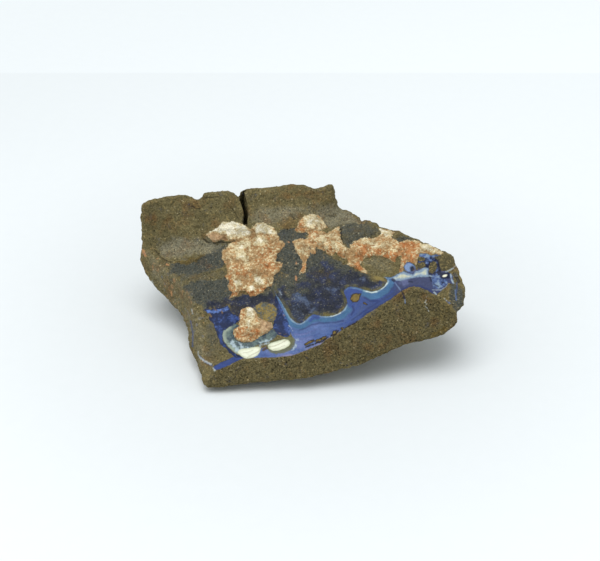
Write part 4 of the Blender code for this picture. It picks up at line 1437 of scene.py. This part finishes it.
class Layer(Protocol):
    """Something that lies on the ironstone."""

    def fields(self, chart: Chart) -> dict[str, np.ndarray]:
        """Measures the layer at each point."""

    def over(self, graph: Graph, under: Look) -> Look:
        """Lays the layer on a look."""


@dataclass
class Boulder:
    """The whole stone: one mesh with every layer on it."""

    view: Viewpoint
    voxel: float = 0.28 * MM
    smoothing: int = 5
    most_triangles: int = 190000
    clearance: float = 1.6  # this and the dip are in millimetres
    gloss_dip: float = 0.06
    grazing: float = -0.2
    blur_rounds: int = 6
    grain: float = 1.1 * MM
    swell: float = 4.0 * MM
    foot: Point = (0.1 * MM, 1.2 * MM)
    levels: int = 10
    ironstone: Ironstone = field(default_factory=Ironstone)
    stain: NavyStain = field(default_factory=NavyStain)
    seam: OpalSeam = field(default_factory=OpalSeam)
    pools: BluePools = field(default_factory=BluePools)
    nodule: Nodule = field(default_factory=Nodule)
    right_end: RightEnd = field(default_factory=RightEnd)
    inclusions: Inclusions = field(default_factory=Inclusions)
    clay: ClayCrust = field(default_factory=ClayCrust)
    sawn: Line = line(213, 371, 242, 360, 276, 358, 298, 354, 326, 340, 352, 326, 377, 309, 401, 292, 411, 288,
        432, 293, 456, 313, 458, 330, 405, 350, 318, 376, 207, 388)

    def layers(self) -> tuple[Layer, ...]:
        """Lists what lies on the ironstone, from the lowest up."""
        return self.stain, self.seam, self.pools, self.nodule, self.right_end, self.inclusions, self.clay

    def build(self) -> bpy.types.Object:
        """Makes the stone's mesh and its fields.

        Returns:
            The finished object.
        """
        mesh = bpy.data.meshes.new_from_object(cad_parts[NODE])
        mesh.materials.clear()
        stone = bpy.data.objects.new("boulder_opal_stone", mesh)
        bpy.context.scene.collection.objects.link(stone)
        remesh = stone.modifiers.new("fine", "REMESH")
        remesh.mode = "VOXEL"
        remesh.voxel_size = self.voxel
        smooth = stone.modifiers.new("soften", "SMOOTH")
        smooth.factor = 0.5
        smooth.iterations = self.smoothing
        self.bake(stone)
        self.weather(stone)
        self.thin(stone)
        self.chart_fields(stone)
        stone.data.polygons.foreach_set("use_smooth", np.ones(len(stone.data.polygons), dtype=bool))
        return stone

    def bake(self, stone: bpy.types.Object) -> None:
        """Turns the modifiers' result into the stone's own mesh.

        Args:
            stone: The stone.
        """
        shape = stone.evaluated_get(bpy.context.evaluated_depsgraph_get())
        mesh = bpy.data.meshes.new_from_object(shape)
        stone.modifiers.clear()
        stone.data = mesh

    def chart(self, stone: bpy.types.Object) -> Chart:
        """Finds where each point shows, and whether it is seen at all.

        Args:
            stone: The stone.

        Returns:
            The chart.
        """
        mesh = stone.data
        places, normals = rows(mesh.vertices, "co"), rows(mesh.vertex_normals, "vector")
        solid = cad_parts[NODE].data
        tree = BVHTree.FromPolygons([v.co for v in solid.vertices], [p.vertices for p in solid.polygons])
        eye = Vector(self.view.eye())
        lifted = places + normals * self.clearance * MM
        toward = self.view.eye() - places
        facing = (normals * toward).sum(axis=1) / np.linalg.norm(toward, axis=1)
        count = len(places)
        seen = np.zeros(count)
        for index in np.flatnonzero(facing > self.grazing).tolist():
            start = Vector(lifted[index])
            seen[index] = tree.ray_cast(start, eye - start)[0] is None
        edges = np.empty(len(mesh.edges) * 2, dtype=np.int32)
        mesh.edges.foreach_get("vertices", edges)
        near, far = edges.reshape(-1, 2).T
        share = np.bincount(near, minlength=count) + np.bincount(far, minlength=count) + 1.0
        for _ in range(self.blur_rounds):
            seen = (seen + np.bincount(near, seen[far], count) + np.bincount(far, seen[near], count)) / share
        return Chart(places, self.view.pixels(places), ease(seen, 0.2, 0.8))

    def weather(self, stone: bpy.types.Object) -> None:
        """Roughens the stone and raises its clay.

        Args:
            stone: The stone.
        """
        chart = self.chart(stone)
        glossy = np.maximum(chart.inside(self.seam.outline()), chart.inside(self.pools.left, self.pools.right))
        glossy = ease(np.maximum(glossy, chart.inside(self.nodule.ring, self.nodule.halo)), -1.0, 1.5)
        sawn = ease(chart.inside(self.sawn), -1.0, 2.0)
        rough = Ground.SKIN.value + (Ground.BROKEN.value - Ground.SKIN.value) * chart.seen
        rough = rough + (Ground.SAWN.value - rough) * np.maximum(sawn, glossy * 0.9)
        bumps = turbulence(chart.places, self.grain, 3, 2.0) + turbulence(chart.places, self.swell, 2, 8.0)
        clay, crumbs = self.clay.relief(chart)
        lift = (rough * MM * bumps + clay - glossy * self.gloss_dip * MM) * ease(chart.places[:, 2], *self.foot)
        moved = chart.places + rows(stone.data.vertex_normals, "vector") * lift[:, None]
        stone.data.vertices.foreach_set("co", moved.ravel())
        # how high each crumb is, which the clay's material turns into painted light and shade
        store(stone, "crumb", crumbs)
        group = stone.vertex_groups.new(name="hidden")
        hidden = np.round((1.0 - chart.seen) * self.levels)
        for level in range(1, self.levels + 1):
            group.add(np.flatnonzero(hidden == level).tolist(), level / self.levels, "REPLACE")

    def thin(self, stone: bpy.types.Object) -> None:
        """Thins the mesh out where nothing is drawn on it.

        Args:
            stone: The stone.
        """
        triangles = sum(len(p.vertices) - 2 for p in stone.data.polygons)
        log.info("before thinning: %d triangles", triangles)
        reduce = stone.modifiers.new("thin", "DECIMATE")
        reduce.ratio = min(1.0, self.most_triangles / triangles)
        reduce.vertex_group = "hidden"
        reduce.vertex_group_factor = 1.0
        self.bake(stone)
        stone.vertex_groups.clear()

    def chart_fields(self, stone: bpy.types.Object) -> None:
        """Measures every layer's fields on the finished mesh.

        Args:
            stone: The stone.
        """
        chart = self.chart(stone)
        for layer in (self.ironstone, *self.layers()):
            for name, values in layer.fields(chart).items():
                store(stone, name, values)
        # the sawn face, which the material darkens as painted shade
        store(stone, "cut", ease(chart.inside(self.sawn, ragged=0.5), -1.0, 2.0))
        store(stone, "across", chart.pixels[:, 0])
        store(stone, "down", chart.pixels[:, 1])

    def dress(self, stone: bpy.types.Object) -> None:
        """Gives the stone its layered material.

        Args:
            stone: The stone.
        """
        graph = Graph("ironstone with opal")
        look = self.ironstone.look(graph)
        for layer in self.layers():
            look = layer.over(graph, look)
        bump = graph.node("ShaderNodeBump", {}, {"Strength": 1.0, "Distance": 1.0, "Height": look.height})
        shader = graph.node("ShaderNodeBsdfPrincipled", {}, {
            "Base Color": look.colour, "Roughness": look.roughness, "Coat Weight": look.coat, "Normal": bump,
            "Coat Roughness": 0.15, "IOR": 1.45, "Specular IOR Level": 0.08})
        graph.node("ShaderNodeOutputMaterial", {}, {"Surface": shader})
        stone.data.materials.append(graph.material)


def rows(items: bpy.types.bpy_prop_collection, name: str) -> np.ndarray:
    """Reads three numbers of each item.

    Args:
        items: The mesh's vertices or normals.
        name: What to read.

    Returns:
        One row an item.
    """
    values = np.empty(len(items) * 3)
    items.foreach_get(name, values)
    return values.reshape(-1, 3)


def store(stone: bpy.types.Object, name: str, values: np.ndarray) -> None:
    """Keeps a field on the mesh.

    Args:
        stone: The stone.
        name: Name of the field.
        values: One number a vertex.
    """
    kept = stone.data.attributes.new(name, "FLOAT", "POINT")
    kept.data.foreach_set("value", np.asarray(values, dtype=np.float32))


# ---------------------------------------------------------------- the studio


@dataclass(frozen=True)
class Studio:
    """A pale floor, a bright room and one broad soft lamp above the stone, a little to its front left."""

    floor_side: float = 6.0
    floor: Colour = (0.88, 0.915, 0.925)
    mottle: float = 0.02
    fold: float = 173 * MM
    fold_width: float = 2 * MM
    fold_shade: float = 0.04
    side_shade: float = 0.07
    near_shade: float = 0.09
    near: Point = (45 * MM, 130 * MM)
    room: Colour = (0.93, 0.975, 1.0)
    room_strength: float = 0.6
    lamp_place: Place = (-0.25, -0.25, 1.87)
    lamp_side: float = 1.6
    lamp_power: float = 25.5

    def build(self) -> None:
        """Adds the floor, the room's light and the lamp."""
        side = self.floor_side / 2
        mesh = bpy.data.meshes.new("floor")
        mesh.from_pydata([(-side, -side, 0), (side, -side, 0), (side, side, 0), (-side, side, 0)], [], [(0, 1, 2, 3)])
        floor = bpy.data.objects.new("floor", mesh)
        bpy.context.scene.collection.objects.link(floor)
        mesh.materials.append(self.paper())
        world = bpy.data.worlds.new("room")
        world.use_nodes = True
        light = world.node_tree.nodes["Background"]
        light.inputs["Color"].default_value = (*self.room, 1.0)
        light.inputs["Strength"].default_value = self.room_strength
        bpy.context.scene.world = world
        data = bpy.data.lights.new("lamp", "AREA")
        data.size = self.lamp_side
        data.energy = self.lamp_power
        lamp = bpy.data.objects.new("lamp", data)
        lamp.location = self.lamp_place
        lamp.rotation_euler = (-Vector(self.lamp_place)).to_track_quat("-Z", "Y").to_euler()
        bpy.context.scene.collection.objects.link(lamp)
        bpy.context.scene.view_settings.view_transform = "Standard"

    def paper(self) -> bpy.types.Material:
        """Makes the floor's pale paper, a little darker near the stone and lighter beyond its fold.

        Returns:
            The material.
        """
        graph = Graph("pale paper")
        mottle = graph.noise(4.0 * MM, 3.0, 1.0)
        aside, back = (graph.node("ShaderNodeSeparateXYZ", {}, {0: graph.place}, output=axis) for axis in range(2))
        middle = graph.node("ShaderNodeVectorMath", {"operation": "LENGTH"}, {0: graph.place}, output=1)
        far = back.rise(-0.1, self.fold) * (1.0 - back.rise(self.fold, self.fold + self.fold_width))
        tone = 0.99 + mottle * self.mottle - far * self.fold_shade - (back - aside).rise(0.0, 0.35) * self.side_shade
        tone = tone - middle.fall(*self.near) * self.near_shade
        paper = graph.node("ShaderNodeBsdfPrincipled", {}, {
            "Base Color": graph.scaled(self.floor, tone), "Roughness": 0.9, "Specular IOR Level": 0.1})
        graph.node("ShaderNodeOutputMaterial", {}, {"Surface": paper})
        return graph.material


def main() -> None:
    """Builds the scene piece by piece."""
    noise.seed_set(NOISE_SEED)  # noise_vector takes its offsets from the clock until it is seeded
    logging.basicConfig(level=logging.INFO, format="%(name)s: %(message)s")
    view = Viewpoint()
    view.camera()
    Studio().build()
    log.info("studio ready")
    boulder = Boulder(view)
    stone = boulder.build()
    boulder.dress(stone)
    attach(stone, BODY)
    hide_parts(NODE)
    log.info("%s: %d polygons", stone.name, len(stone.data.polygons))
    bpy.context.view_layer.update()


if __name__ == "__main__":
    main()
